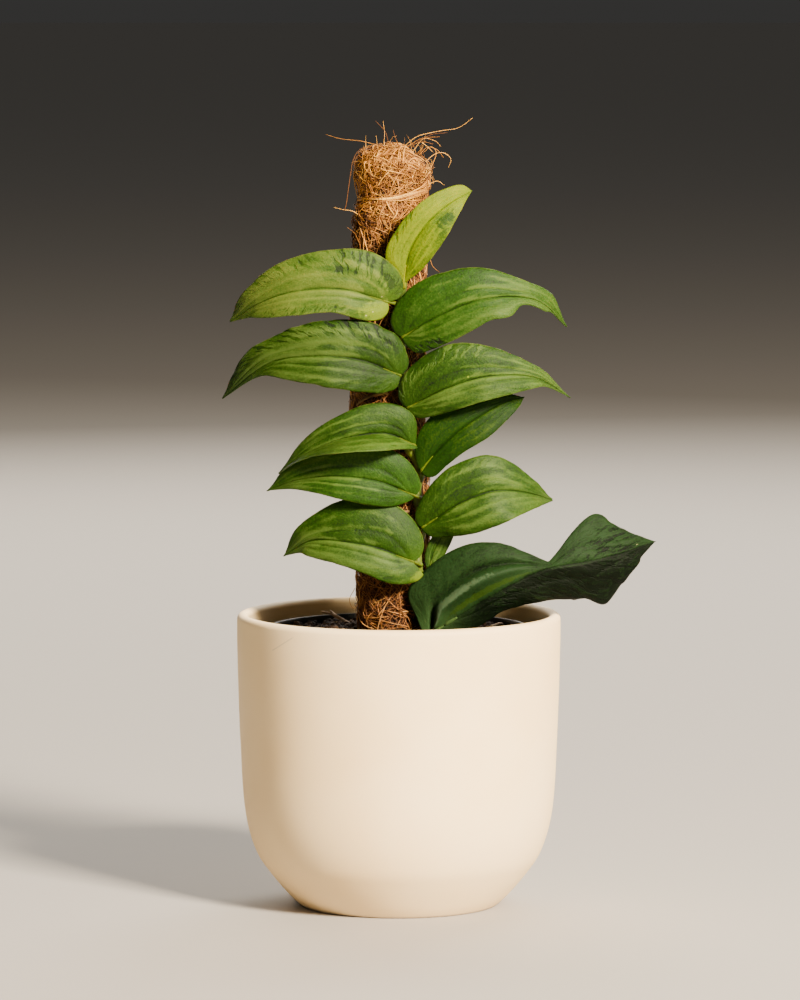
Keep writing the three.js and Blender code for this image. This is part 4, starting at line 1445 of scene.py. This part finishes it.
@dataclass
class Leaf:
    """A leaf as a fan of ribs: the first point back past the stem, the last forward to the tip.

    above and below are the ribs' lengths, roll and curl their angles in degrees, all along the
    midrib; sheen is where on the way to the tip each half takes its painted sheen, and how much.
    """

    name: str
    hand: int
    slot: str
    finish: LeafFinish
    midrib: tuple[tuple[float, float, float], ...]
    face: tuple[tuple[float, float, float], ...]
    above: tuple[Any, ...]
    below: tuple[Any, ...]
    back_angle: float = 152.0
    front_angle: float = 24.0
    sweep: float = 1.5
    gather: float = 1.4
    rib_bow: float = 0.18
    roll_above: tuple[float, ...] = (-22, -18, -12)
    curl_above: tuple[float, ...] = (45, 42, 30)
    roll_below: tuple[float, ...] = (-26, -24, -12)
    curl_below: tuple[float, ...] = (40, 36, 30)
    rows: int = 128
    columns: int = 49
    thickness: float = 0.55
    pleat: float = 0.3
    wrinkle: float = 0.1
    wave: float = 0.5
    billow: float = 0.28
    ruffle: float = 0.012
    fold: float = 0.0
    crease: float = 0.0
    veins: tuple[float, float] = (0.33, 0.65)
    swells: tuple[float, float, float] = (0.9, 0.8, 0.45)
    sheen_above: tuple[float, float] = (0.35, 0.75)
    sheen_below: tuple[float, float] = (0.1, 0.8)
    below_tone: float = 0.0
    hatches: tuple[Hatch, ...] = ()
    petiole: float = 1.1
    seed: int = 1

    def ribs(self, u: Array) -> tuple[Array, Array, Array, Array]:
        """Where the ribs leave the midrib, with its direction, the blade's face and its upward side."""
        t = u**self.gather
        root = catmull(self.midrib, t)
        before, after = np.maximum(t - 1e-3, 0), np.minimum(t + 1e-3, 1)
        forward = unit(catmull(self.midrib, after) - catmull(self.midrib, before))
        face = catmull(self.face, t)
        face = unit(face - np.sum(face * forward, -1, keepdims=True) * forward)
        return root, forward, face, self.hand * np.cross(face, forward)

    @staticmethod
    def outline(points: tuple[Any, ...], u: Array) -> Array:
        """Rib lengths: a smooth line through evenly spaced lengths, or through pairs of rib and length."""
        if np.ndim(points) == 1:
            return catmull(points, u)
        fine = catmull(points, np.linspace(0, 1, 400))
        return np.interp(u, fine[:, 0], fine[:, 1])

    def surface(self, u: Array, s: Array) -> tuple[Array, Array]:
        """The smooth blade.

        A rib lies in a plane turned from the midrib by its angle, and in that plane it is an arc
        that starts at its roll and turns by its curl.

        Args:
            u: rib, from the first (0) to the last (1).
            s: from the lower margin (-1) over the midrib (0) to the upper margin (1).

        Returns:
            The points, and the length of each one's rib.
        """
        root, forward, face, side = (v[:, None] for v in self.ribs(u[:, 0]))
        upper = s >= 0
        r = np.abs(s)
        length = np.where(upper, self.outline(self.above, u), self.outline(self.below, u))
        ruffle = unevenness(u * 22 + np.where(upper, 0.0, 9.0), 0.5, self.seed + 11)
        length = np.maximum(length, 0.25) * (1 + self.ruffle * ruffle)
        roll, curl = (
            np.radians(np.where(upper, catmull(above, u), catmull(below, u)))
            for above, below in ((self.roll_above, self.roll_below), (self.curl_above, self.curl_below))
        )
        angle = np.radians(self.front_angle + (self.back_angle - self.front_angle) * (1 - u) ** self.sweep)
        reach = length * (np.sin(roll + curl * r) - np.sin(roll)) / curl
        rise = length * (np.cos(roll + curl * r) - np.cos(roll)) / curl
        bow = self.rib_bow * length * r * (r - 1)
        points = root + (np.sin(angle) * reach * np.sign(s + 1e-9))[..., None] * side
        points = points + (np.sin(angle) * rise)[..., None] * face
        points = points + (np.cos(angle) * length * r + np.sin(angle) * bow)[..., None] * forward
        return points, np.broadcast_to(length, points.shape[:2])

    def strokes(self, u: Array, s: Array) -> Array:
        """How strong the painted wrinkle shade is: each hatch fades in and out along and across by s-curves.
        """
        total = np.zeros(np.broadcast(u, s).shape)
        for hatch in self.hatches:
            along = ease(u, hatch.u[0], hatch.u[0] + 0.1) * (1 - ease(u, hatch.u[1] - 0.1, hatch.u[1]))
            across = ease(s, hatch.s[0], hatch.s[0] + 0.15) * (1 - ease(s, hatch.s[1] - 0.12, hatch.s[1]))
            total = total + hatch.strength * along * across
        return total

    def swollen(self, u: Array, r: Array, half: Array, bounds: Sequence[Any]) -> Array:
        """How the skin swells between veins: a parabola across each strip, stronger or weaker along it."""
        total = np.zeros(np.broadcast(u, r).shape)
        for i, part in enumerate(self.swells):
            x = np.clip((r - bounds[i]) / (bounds[i + 1] - bounds[i]), 0, 1)
            strong = 0.65 + 0.35 * unevenness(u * 3.1 + half + 5 * i, 0.5, self.seed + 1)
            total = total + 4 * x * (1 - x) * strong * part
        return total

    def wrinkled(self, u: Array, r: Array, half: Array) -> Array:
        """Fine wrinkles that slant to the margin: soft steps and sharp ridges, weaker near the midrib."""
        teeth = np.tanh(2.2 * unevenness(u * 40 - r * 9 + half, r * 3.4 + half, self.seed + 2))
        ridges = 1 - np.abs(unevenness(u * 30 - r * 7 + half, r * 6 + half, self.seed + 3)) * 2
        return (0.6 * teeth + 0.4 * ridges) * (0.25 + 0.75 * ease(r, 0.3, 0.8))

    def skin(self, u: Array, s: Array, length: Array) -> tuple[Array, Array]:
        """How far the blade stands off its smooth shape, and how pale it is.

        Two veins in each half leave the midrib near its foot and spread to a third and two thirds
        of the width. The skin swells between them, the inner one is sunk and the outer one raised.
        Broad hollows, fine slanting wrinkles, a fold in the upper half, creases along the ribs
        towards the tip and a wavy margin come on top. The tone carries a painted sheen, which rises
        from the foot to the outer part of the blade in ragged fingers beside the veins, and painted
        light and shade that follow the relief: paler on the raised vein, the swells and the fold's
        ridge, darker in the sunk vein, the midrib's groove, the hollows and the fold's valley. The
        lower half is darker by below_tone.

        Args:
            u: rib, from 0 to 1.
            s: place across, from -1 to 1.
            length: each rib's length.

        Returns:
            The height in millimetres, and the tone from 0 to 1.
        """
        r = np.abs(s)
        upper = s >= 0
        half = np.where(upper, 0.0, 17.0)
        opened = ease(u, -0.06, 0.42) ** 0.75
        drift = 1 + 0.09 * unevenness(u * 5 + half, 3.0, self.seed)
        inner, outer = (place * opened * drift for place in self.veins)
        full = ease(u, 0.04, 0.25) * (1 - ease(u, 0.88, 1.0)) * np.clip(length / 11, 0, 1)
        sunk, raised = bell(r, inner, 0.022), bell(r, outer, 0.03)
        broad = unevenness(u * 6 + half, s * 2.6, self.seed + 5)
        broad = broad + 0.5 * unevenness(u * 13 + half, s * 5, self.seed + 6)
        fold = self.fold * (bell(r, 0.33, 0.1) - 0.9 * bell(r, 0.49, 0.07))
        fold = fold * ease(u, 0.0, 0.08) * (1 - ease(u, 0.38, 0.6)) * upper

        height = self.pleat * self.swollen(u, r, half, (0, inner, outer, 1)) * full
        height = height + self.wrinkle * self.wrinkled(u, r, half) * full
        height = height + self.wave * unevenness(u * 7 + half, 0.5, self.seed + 4) * r**3 * full
        height = height - 0.35 * bell(r * length, 0.0, 0.6) * (1 - 0.6 * u)
        height = height + (0.22 * raised - 0.2 * sunk + self.billow * broad) * full + fold
        along_ribs = np.tanh(3 * unevenness(u * 17 + half, r * 1.1 + half, self.seed + 12))
        height = height + self.crease * along_ribs * ease(r, 0.05, 0.35) * ease(u, 0.4, 0.52) * full

        # Painted sheen: pale patches that spread in ragged fingers from the foot towards the tip.
        start, strength = (np.where(upper, *pair) for pair in zip(self.sheen_above, self.sheen_below))
        ragged = unevenness(u * 10 - r * 2 + half, r * 6 + half, self.seed + 7)
        ragged = ragged + 0.5 * unevenness(u * 34 - r * 8 + half, r * 13 + half, self.seed + 9)
        fingers = bell(r, inner + 0.07, 0.07) + bell(r, outer + 0.06, 0.05) + 0.8 * bell(r, 0.1, 0.07)
        sheen = ease(u + 0.24 * fingers + 0.19 * ragged - 0.12, start, start + 0.16) * strength
        # Less sheen in the hollows: painted shade.
        sheen = sheen * (1 - 0.45 * np.clip(-broad * 1.6, 0, 1))
        # Paler on the swells and the raised vein: painted light.
        tone = 0.33 + 0.66 * sheen * (0.55 + 0.45 * fingers) + 0.09 * broad + 0.12 * raised * full
        # Darker in the sunk vein and the midrib's groove: painted shade.
        tone = tone - 0.16 * sunk * full - 0.26 * bell(r * length, 0.0, 0.55) * ease(u, 0.05, 0.2)
        # below_tone darkens the lower half. The fold's ridge is paler and its valley darker: painted light
        # and shade.
        tone = tone + np.where(upper, 0.0, self.below_tone) * ease(r, 0.0, 0.06) + 0.12 * fold
        return height, np.clip(tone, 0, 1)

    def blade(self) -> Shape:
        """The blade: its relief on face and back, with a ridge under the midrib that fades to the tip."""
        u = np.linspace(0, 1, self.rows)[:, None]
        x = np.linspace(-1, 1, self.columns)[None]
        s = np.sign(x) * (0.6 * np.abs(x) + 0.4 * x * x)
        smooth, length = self.surface(u, s)
        normal = unit(np.cross(np.gradient(smooth, axis=0), np.gradient(smooth, axis=1)))
        looks = self.ribs(u[:, 0])[2][:, None]
        normal = normal * np.sign(np.sum(normal * looks, -1, keepdims=True) + 1e-9)
        height, tone = self.skin(u, s, length)
        strokes = self.strokes(u, s)
        middle = smooth + height[..., None] * normal
        thin = self.thickness * (1 - 0.55 * np.abs(s) ** 6)
        rib = 0.9 * bell(np.abs(s) * length, 0.0, 0.9) * (1 - 0.75 * u)
        front, back = middle + (thin / 2)[..., None] * normal, middle - (thin / 2 + rib)[..., None] * normal
        shape = two_sided(front, back)
        uv = np.stack(np.broadcast_arrays(u, (s + 1) / 2), -1).reshape(-1, 2)
        shape.uv = np.vstack([uv, uv])
        shape.values["tone"] = np.tile(tone.ravel(), 2)
        shape.values["strokes"] = np.tile(strokes.ravel(), 2)
        return shape.outward()

    def stalk(self, stem: Stem) -> Shape:
        """The petiole from the stem to the blade's back, with a short pale rib on the blade's face."""
        node = stem.at_height(self.midrib[0][2] - 2)
        out = unit(node - np.array([stem.pole.middle(node[2]), 0, node[2]]))
        root, forward, face, _ = (v[0] for v in self.ribs(np.array([0.09])))
        start, end = node + out * (stem.radius - 0.6), root - face * 0.3
        part = np.linspace(0, 1, 26)
        line = [start, start + out * 1.2, (start + out * 1.5 + end) / 2, end, end + forward * 6]
        thick = self.petiole * (1.05 - 0.55 * part)
        petiole = strands(catmull(line, part)[None], thick[None], 12, (0.2, 0.1, 1))
        first, ahead, look, _ = (v[0] for v in self.ribs(np.array([0.0])))
        low = first - ahead * 1.6 + (node - first) * 0.3
        line = [low, first + look * 0.15, first + ahead * 2.2 + look * 0.05, first + ahead * 4.6 - look * 0.3]
        thick = self.petiole * np.interp(part, [0, 0.3, 1], [0.55, 0.6, 0.12])
        collar = strands(catmull(line, part)[None], thick[None], 12, (0.9, 0.3, 0.1))
        both = Shape.joined([petiole, collar])
        both.values["stalk"] = np.ones(len(both.points))
        return both

    def build(self, stem: Stem) -> Piece:
        """Join blade and stalk and give them their finish."""
        shape = Shape.joined([self.blade(), self.stalk(stem)])
        return shape.make(f"{self.name}_blade", self.finish.material(self.name), self.slot, [self.name])


SMUDGE = tint("#1a3403")
YELLOW = tint("#6a7c10")
SPECK = tint("#969565")
RUST = tint("#4d3710")


def speck(u: float, s: float, strength: float = 0.8) -> Mark:
    """A small pale dot."""
    return Mark(u, s, 0.006, 0.03, SPECK, strength, 0.1)


OLD_GREEN = LeafFinish(
    deep=tint("#030902"), green=tint("#15290f"), pale=tint("#1b2e1a"), base=tint("#36502a"),
    rim=tint("#2a3a14"), heart=tint("#2e3c14"), under=tint("#2e3f20"), tip=tint("#0c1806"),
    roughness=0.57, shine=0.06, rim_part=0.35, tip_shade_part=0.1, base_part=0.45,
    marks=(
        Mark(0.9, 0.35, 0.006, 0.02, SPECK, 0.8, 0.1),
        Mark(0.1, 0.72, 0.02, 0.03, tint("#3c4e2a"), 0.5, 0.8),
        # A pale grey-green crescent: painted sheen on the cupped fold.
        Mark(0.22, 0.36, 0.2, 0.07, tint("#3a4c34"), 0.8, 0.5),
        Mark(0.34, 0.13, 0.24, 0.07, tint("#24360a"), 0.6, 0.5),
    ),
)

LEAVES = (
    Leaf(
        "leaf_newest", 1, "leaf_new",
        LeafFinish(
            deep=tint("#344a00"), green=tint("#566600"), pale=tint("#6d7600"), base=tint("#6a7400"),
            rim=tint("#81852c"), heart=tint("#6b7207"), under=tint("#4f6015"), tip=tint("#4b5e00"),
            base_part=0.5, shine=0.1,
            marks=(
                Mark(0.66, -0.6, 0.09, 0.28, SMUDGE, 0.9, 0.9),
                Mark(0.55, -0.78, 0.05, 0.16, SMUDGE, 0.6, 0.9),
                Mark(0.45, -0.55, 0.012, 0.07, SMUDGE, 0.55), Mark(0.22, -0.7, 0.03, 0.12, SMUDGE, 0.5),
                Mark(0.42, 0.86, 0.012, 0.05, RUST, 0.7, 0.8), Mark(0.52, 0.88, 0.03, 0.08, SMUDGE, 0.4),
            ),
        ),
        ((2, -23.7, 286.5), (5, -26.5, 301), (13, -28, 313.5), (23, -26, 322), (33, -21, 327.5)),
        ((0.1, -1, 0.05), (0.1, -1, 0.05), (0.2, -1, 0.05)),
        (0, 3, 10, 10, 10, 10, 8, 0), (0, 3.5, 8.5, 11.5, 12, 9.5, 5.5, 0),
        pleat=0.12, wrinkle=0.04, wave=0.25, billow=0.1, sheen_above=(0.5, 0.3), sheen_below=(0.3, 0.5),
        below_tone=-0.28, hatches=(Hatch((0.3, 0.62), (0.6, 1.1), 0.4),), seed=3,
    ),
    Leaf(
        "leaf_left_1", -1, "leaf_pale",
        LeafFinish(
            deep=tint("#142504"), green=tint("#2e460c"), pale=tint("#505f22"), base=tint("#324a03"),
            rim=tint("#5c672f"), under=tint("#3d4d22"), tip=tint("#142803"),
            base_part=0.5, tip_shade_part=0.5, stroke_count=58, stroke_slant=2,
            marks=(Mark(0.1, -0.62, 0.22, 0.5, YELLOW, 0.55, 0.5), speck(0.2, -0.62), speck(0.24, -0.8),
                   speck(0.13, 0.15, 0.7)),
        ),
        ((-5.5, -27.5, 278), (-24, -33, 283.5), (-44.5, -32, 283), (-61.5, -25, 277.5), (-76, -13, 268.5)),
        LEFT_FACE, (5, 15, 19.5, 18, 17, 15, 11, 1), (0, 10, 12, 11, 13, 12, 7, 1),
        pleat=0.25, wrinkle=0.16, sheen_above=(0.2, 0.8), sheen_below=(0.15, 0.9),
        hatches=(Hatch((0.02, 0.5), (0.3, 1.1), 0.42), Hatch((0.45, 0.98), (0.55, 1.1), 0.3),
                 Hatch((0.3, 0.8), (-1.1, -0.6), 0.3)),
        seed=11,
    ),
    Leaf(
        "leaf_left_2", -1, "leaf_mid",
        LeafFinish(
            green=tint("#183000"), pale=tint("#3b4f1b"), tip=tint("#0a1602"), tip_shade_part=0.7, stroke_count=50,
        ),
        ((0.5, -24, 244.5), (-16.5, -30, 251.5), (-36.5, -31, 253.5), (-59, -23, 249.5), (-80, -8, 233)),
        LEFT_FACE, (0, 10, 17, 18, 17.5, 15, 13.5, 0.5), (0, 9, 13, 15, 15, 12, 5, 0.5),
        pleat=0.45, wrinkle=0.3, wave=0.8, ruffle=0.035, sheen_above=(0.36, 0.95), sheen_below=(0.34, 0.85),
        hatches=(Hatch((0.2, 1.0), (0.5, 1.1), 0.42),), seed=21,
    ),
    Leaf(
        "leaf_left_3", -1, "leaf_mid", LeafFinish(),
        ((7, -24.5, 213), (-6, -30, 218.5), (-24, -32, 216.5), (-41, -26, 209.5), (-54.5, -16, 199.5)),
        LEFT_FACE, (0, 5, 13, 14, 12, 10, 6, 0), (2, 4, 8, 14.5, 14, 9, 6, 0),
        roll_below=(-60, -66, -60), curl_below=(20, 20, 20),
        sheen_above=(0.5, 0.8), sheen_below=(0.0, 0.9), seed=31,
    ),
    Leaf(
        "leaf_left_4", -1, "leaf_mid", LeafFinish(green=tint("#1b3901")),
        ((7, -23, 190), (-8.5, -28, 196.5), (-26.5, -28, 199), (-44.5, -22, 197), (-60, -12, 191)),
        LEFT_FACE, (0, 8, 14, 17, 17, 14, 8.5, 0), (0, 5, 10, 12, 11.5, 9, 5, 0),
        wrinkle=0.05, sheen_above=(0.66, 0.5), sheen_below=(0.5, 0.8), seed=41,
    ),
    Leaf(
        "leaf_left_5", -1, "leaf_mid",
        LeafFinish(
            base=tint("#2e4903"), rim_part=0.9, base_part=0.6,
            marks=(Mark(0.05, 0.35, 0.008, 0.05, RUST, 0.9, 0.3),
                   Mark(0.03, 0.6, 0.006, 0.04, RUST, 0.9, 0.3),
                   Mark(0.02, -0.85, 0.14, 0.3, YELLOW, 0.45, 0.4)),
        ),
        ((6, -24, 160), (-8.5, -27, 166), (-24.5, -26, 169), (-39.5, -20, 169), (-52.5, -10, 161)),
        (LEAF_BASE_FACE,) + LEFT_FACE[1:], (0, 11, 19, 23, 20, 14, 9, 0), (8, 12, 14, 13, 12, 12, 6, 0),
        wrinkle=0.05, sheen_above=(0.5, 0.8), sheen_below=(0.1, 0.9), seed=51,
    ),
    Leaf(
        "leaf_right_1", 1, "leaf_mid", LeafFinish(green=tint("#1b3901")),
        ((2, -24.5, 262), (17.5, -31, 271.5), (39, -33, 279.5), (61.5, -26, 278.5), (76, -13, 266)),
        RIGHT_FACE,
        (0, 10.5, 16.5, 18, 15.5, 10.5, 9, 0.5), (0, 5, 11, 12.5, 13, 13, 12, 12, 5.5, 6, 1, 0.5),
        pleat=0.45, wrinkle=0.2, wave=0.7, ruffle=0.02, sheen_above=(0.5, 0.9), sheen_below=(0.14, 0.8),
        hatches=(Hatch((0.12, 0.4), (-1.1, -0.6), 0.45),), seed=61,
    ),
    Leaf(
        "leaf_right_2", 1, "leaf_mid",
        LeafFinish(marks=(Mark(0.5, 0.12, 0.005, 0.03, YELLOW, 0.9, 0.5),)),
        ((4.5, -24, 230), (21.5, -31, 239), (41, -32, 244.5), (61.5, -25, 243.5), (78, -12, 233.5)),
        RIGHT_FACE, (0, 10.5, 16.5, 19, 15, 9.5, 5.5, 0), (0, 7.5, 10, 11, 12, 10, 4, 0),
        pleat=0.4, wrinkle=0.25, ruffle=0.02, sheen_above=(0.52, 0.95), sheen_below=(0.12, 0.85),
        hatches=(Hatch((0.05, 0.6), (0.55, 1.1), -0.4),), seed=71,
    ),
    Leaf(
        "leaf_right_3", 1, "leaf_mid",
        LeafFinish(deep=tint("#081900"), green=tint("#0e2800"), pale=tint("#34490a"), shine=0.08),
        ((10.5, -21, 201.5), (20.5, -23.5, 213.5), (33, -24, 223.5), (46, -21, 231), (57, -15, 234)),
        ((0.1, -1, 0.15), (0.1, -1, 0.15), (0.3, -1, 0.15)),
        (0, 5, 11, 13.5, 11.5, 8, 5, 0), (0, 7, 8, 9.5, 12, 11, 7, 0),
        pleat=0.15, wrinkle=0.04, wave=0.3, billow=0.15,
        sheen_above=(0.7, 0.2), sheen_below=(0.5, 0.3), seed=81,
    ),
    Leaf(
        "leaf_right_4", 1, "leaf_mid", LeafFinish(),
        ((11, -22.5, 175.5), (25.5, -28, 185.5), (41, -29, 192), (56, -23, 191.5), (69.5, -12, 187)),
        RIGHT_FACE, (0, 8, 13, 17.5, 18, 13, 8, 1), (0, 7, 12, 16.5, 17.5, 14, 9, 1),
        wrinkle=0.14, sheen_above=(0.42, 0.8), sheen_below=(0.34, 0.7),
        hatches=(Hatch((0.25, 0.75), (0.55, 0.95), 0.16),), seed=91,
    ),
    Leaf(
        "leaf_small", 1, "leaf_mid", LeafFinish(),
        ((13.5, -18.5, 152.5), (15.5, -18.5, 162.5), (19, -18.5, 170), (23, -16.5, 174.5), (27, -13, 178)),
        ((0.3, -1, 0.1), (0.3, -1, 0.1), (0.3, -1, 0.1)),
        (0, 1, 3, 4, 4, 3, 2, 0), (0, 2, 4, 5.5, 6, 5, 3, 0),
        rows=60, columns=25, pleat=0.12, wrinkle=0.05, wave=0.1, billow=0.1, petiole=0.8, seed=101,
    ),
    Leaf(
        "leaf_oldest", 1, "leaf_dark", OLD_GREEN,
        ((17.5, -22, 128.5), (31.5, -25, 138), (48, -27, 148), (66.5, -25, 156.5),
         (86, -21, 159.5), (103, -15, 163.5), (117, -8, 167.5)),
        ((0, -1, 0), (0, -1, 0.1), (0.1, -1, 0.25), (0.3, -1, 0.3)),
        ((0, 5.5), (0.11, 15), (0.19, 26.5), (0.25, 28), (0.36, 27.5), (0.45, 20.5),
         (0.56, 5.5), (0.595, 6), (0.655, 26.5), (0.74, 20.5), (0.86, 10.5), (1, 0)),
        ((0, 0), (0.13, 4.5), (0.25, 10), (0.37, 10), (0.49, 16), (0.58, 22),
         (0.63, 22.5), (0.665, 29), (0.74, 20.5), (0.86, 9), (1, 0)),
        back_angle=160, front_angle=30, gather=1.25, rib_bow=0.05,
        roll_above=(0, -20, -10, -10), curl_above=(10, 45, 25, 25),
        roll_below=(-20, 10, 20, 0), curl_below=(30, 30, 40, 40),
        rows=200, columns=53, pleat=0.5, wrinkle=0.25, wave=0.8, billow=0.5, ruffle=0.01, fold=2.6,
        crease=0.55, petiole=1.6,
        # below_tone paints the shade on the lower half, which bends under.
        sheen_above=(0.62, 0.02), sheen_below=(0.72, 0.05), below_tone=-0.42,
        hatches=(Hatch((0.3, 0.95), (-1.0, -0.02), 0.45), Hatch((0.6, 0.95), (0.0, 1.0), 0.25)),
        seed=111,
    ),
)


@dataclass
class BarkBits:
    """A forked twig and three splinters that lie on the soil, each a tapered and flattened strand."""

    rest: float = 124.9

    def bit(self, line: Sequence[Sequence[float]], thick: float, seed: int) -> Shape:
        """A strand through the points, uneven along and round it."""
        part = np.linspace(0, 1, 24)
        path = catmull(line, part)
        taper = thick * (1 - 0.45 * part + 0.18 * unevenness(part * 8, seed, seed))
        taper = taper * np.sqrt(1 - ease(part, 0.93, 1.04))
        shape = strands(path[None], np.maximum(taper, 0.12)[None], 9, (0, 0, 1))
        shape.points += 0.14 * unevenness(shape.points * 1.3, shape.points[:, ::-1] * 0.9, seed)
        return shape

    def build(self) -> None:
        """Make the four bits at their places."""
        bark = WoodFinish("bark", tint("#c3a683"), tint("#77583c"), (1.0, 1.0, 1.0), 600).material()
        z = self.rest
        fork = Shape.joined([
            self.bit(
                [(-23.4, 37, z), (-26.5, 38.8, z + 1.6), (-29, 40.5, z + 3), (-31.8, 45.6, z + 5)], 1.0, 5
            ),
            self.bit([(-28.6, 40.2, z + 2.8), (-31, 40, z + 3.8), (-36, 40.6, z + 5.2)], 0.8, 6),
        ])
        fork.make("forked_twig", bark, "bark", ["bark_fork"])
        splinters = (
            [(-17, 33.6, z), (-12, 33.2, z + 0.5), (-7, 32.8, z + 0.9)],
            [(30.6, 33.6, z), (35.5, 35.2, z + 0.5), (40, 37, z + 0.8)],
            [(42.6, 20.6, z), (45, 25, z + 0.6), (47.6, 29, z + 1.1)],
        )
        for i, line in enumerate(splinters, 1):
            self.bit(line, 0.95, 6 + i).make(f"splinter_{i}", bark, "bark", [f"bark_chip_{i}"])


# The studio


@dataclass(frozen=True)
class Lamp:
    """A square soft light: its place and the length of its side in metres, and its power in watts."""

    name: str
    at: tuple[float, float, float]
    size: float
    power: float
    colour: Colour

    def build(self, target: Sequence[float]) -> None:
        """Hang the lamp and turn it to a target, by the angles of the line from one to the other."""
        lamp = bpy.data.lights.new(self.name, "AREA")
        lamp.size = self.size
        lamp.energy = self.power
        lamp.color = self.colour[:3]
        holder = placed(self.name, lamp)
        x, y, z = (end - start for start, end in zip(self.at, target))
        holder.location = self.at
        holder.rotation_euler = (math.atan2(math.hypot(x, y), -z), 0, math.atan2(-x, y))
        holder.visible_camera = False


@dataclass
class Studio:
    """A pale floor, soft lights, a plain sky and the photograph's camera."""

    camera_at: tuple[float, float, float] = (0.6, -2466.0, 408.0)
    tilt: float = 5.15
    lens: float = 195.1
    reach: float = 400.0
    grain_scale: float = 60
    relief: float = 0.00002
    floor_colour: Colour = tint("#a19d97")
    sky: Colour = tint("#dcdad6")
    sky_strength: float = 0.13
    horizon: float = 1.2
    haze: float = 0.25
    target: tuple[float, float, float] = (0.0, 0.0, 0.17)
    lamps: tuple[Lamp, ...] = (
        Lamp("key", (1.33, -1.84, 1.45), 0.5, 430, tint("#ffecd2")),
        Lamp("fill", (-1.9, -1.3, 1.1), 1.6, 1, tint("#fff4ea")),
        Lamp("back", (0.8, 1.9, 1.6), 1.2, 60, tint("#fff8ee")),
        Lamp("back_left", (-0.55, 2.1, 1.3), 1.4, 45, tint("#fff4e6")),
    )

    def floor(self) -> None:
        """A wide plain floor."""
        paint = Paint("studio_floor")
        normal = paint.bump(paint.grain(paint.place(), self.grain_scale, 2), self.relief)
        mesh = bpy.data.meshes.new("floor")
        corners = [(x * self.reach, y * self.reach, 0) for x, y in ((-1, -1), (1, -1), (1, 1), (-1, 1))]
        mesh.from_pydata(corners, [], [(0, 1, 2, 3)])
        mesh.materials.append(paint.finish(self.floor_colour, 0.85, normal))
        placed("floor", mesh)

    def heaven(self) -> None:
        """A pale sky, a little darker near the horizon, where the floor is too."""
        paint = Paint("studio", "worlds")
        height = paint.parts(paint.node("ShaderNodeTexCoord", out="Generated"))[2]
        low = self.floor_colour[1] * self.sky_strength * self.horizon
        limits = {"From Max": self.haze, "To Min": low, "To Max": self.sky_strength}
        strength = paint.node("ShaderNodeMapRange", values={"Value": height, **limits})
        sky = paint.node("ShaderNodeBackground", values={"Color": self.sky, "Strength": strength})
        paint.node("ShaderNodeOutputWorld", values={"Surface": sky})
        bpy.context.scene.world = paint.owner

    def camera(self) -> None:
        """The photograph's camera, level but for its tilt down."""
        camera = bpy.data.cameras.new("camera")
        camera.lens = self.lens
        camera.clip_start = 0.05
        camera.clip_end = 200
        holder = placed("camera", camera)
        holder.location = [value * MM for value in self.camera_at]
        holder.rotation_euler = (math.radians(90 - self.tilt), 0, 0)
        bpy.context.scene.camera = holder

    def build(self) -> None:
        """Set the floor, lights, sky and camera."""
        self.floor()
        for lamp in self.lamps:
            lamp.build(self.target)
        self.heaven()
        self.camera()


def main() -> None:
    """Build the object from the pot up, then the studio."""
    logging.basicConfig(level=logging.INFO, format="%(message)s")
    CoverPot().build()
    NurseryPot().build()
    Soil().build()
    BarkBits().build()
    pole = CoirPole()
    pole.build()
    stem = Stem(pole)
    stem.build([leaf.midrib[0][2] for leaf in LEAVES])
    for leaf in LEAVES:
        leaf.build(stem)
    Studio().build()


if __name__ == "__main__":
    main()
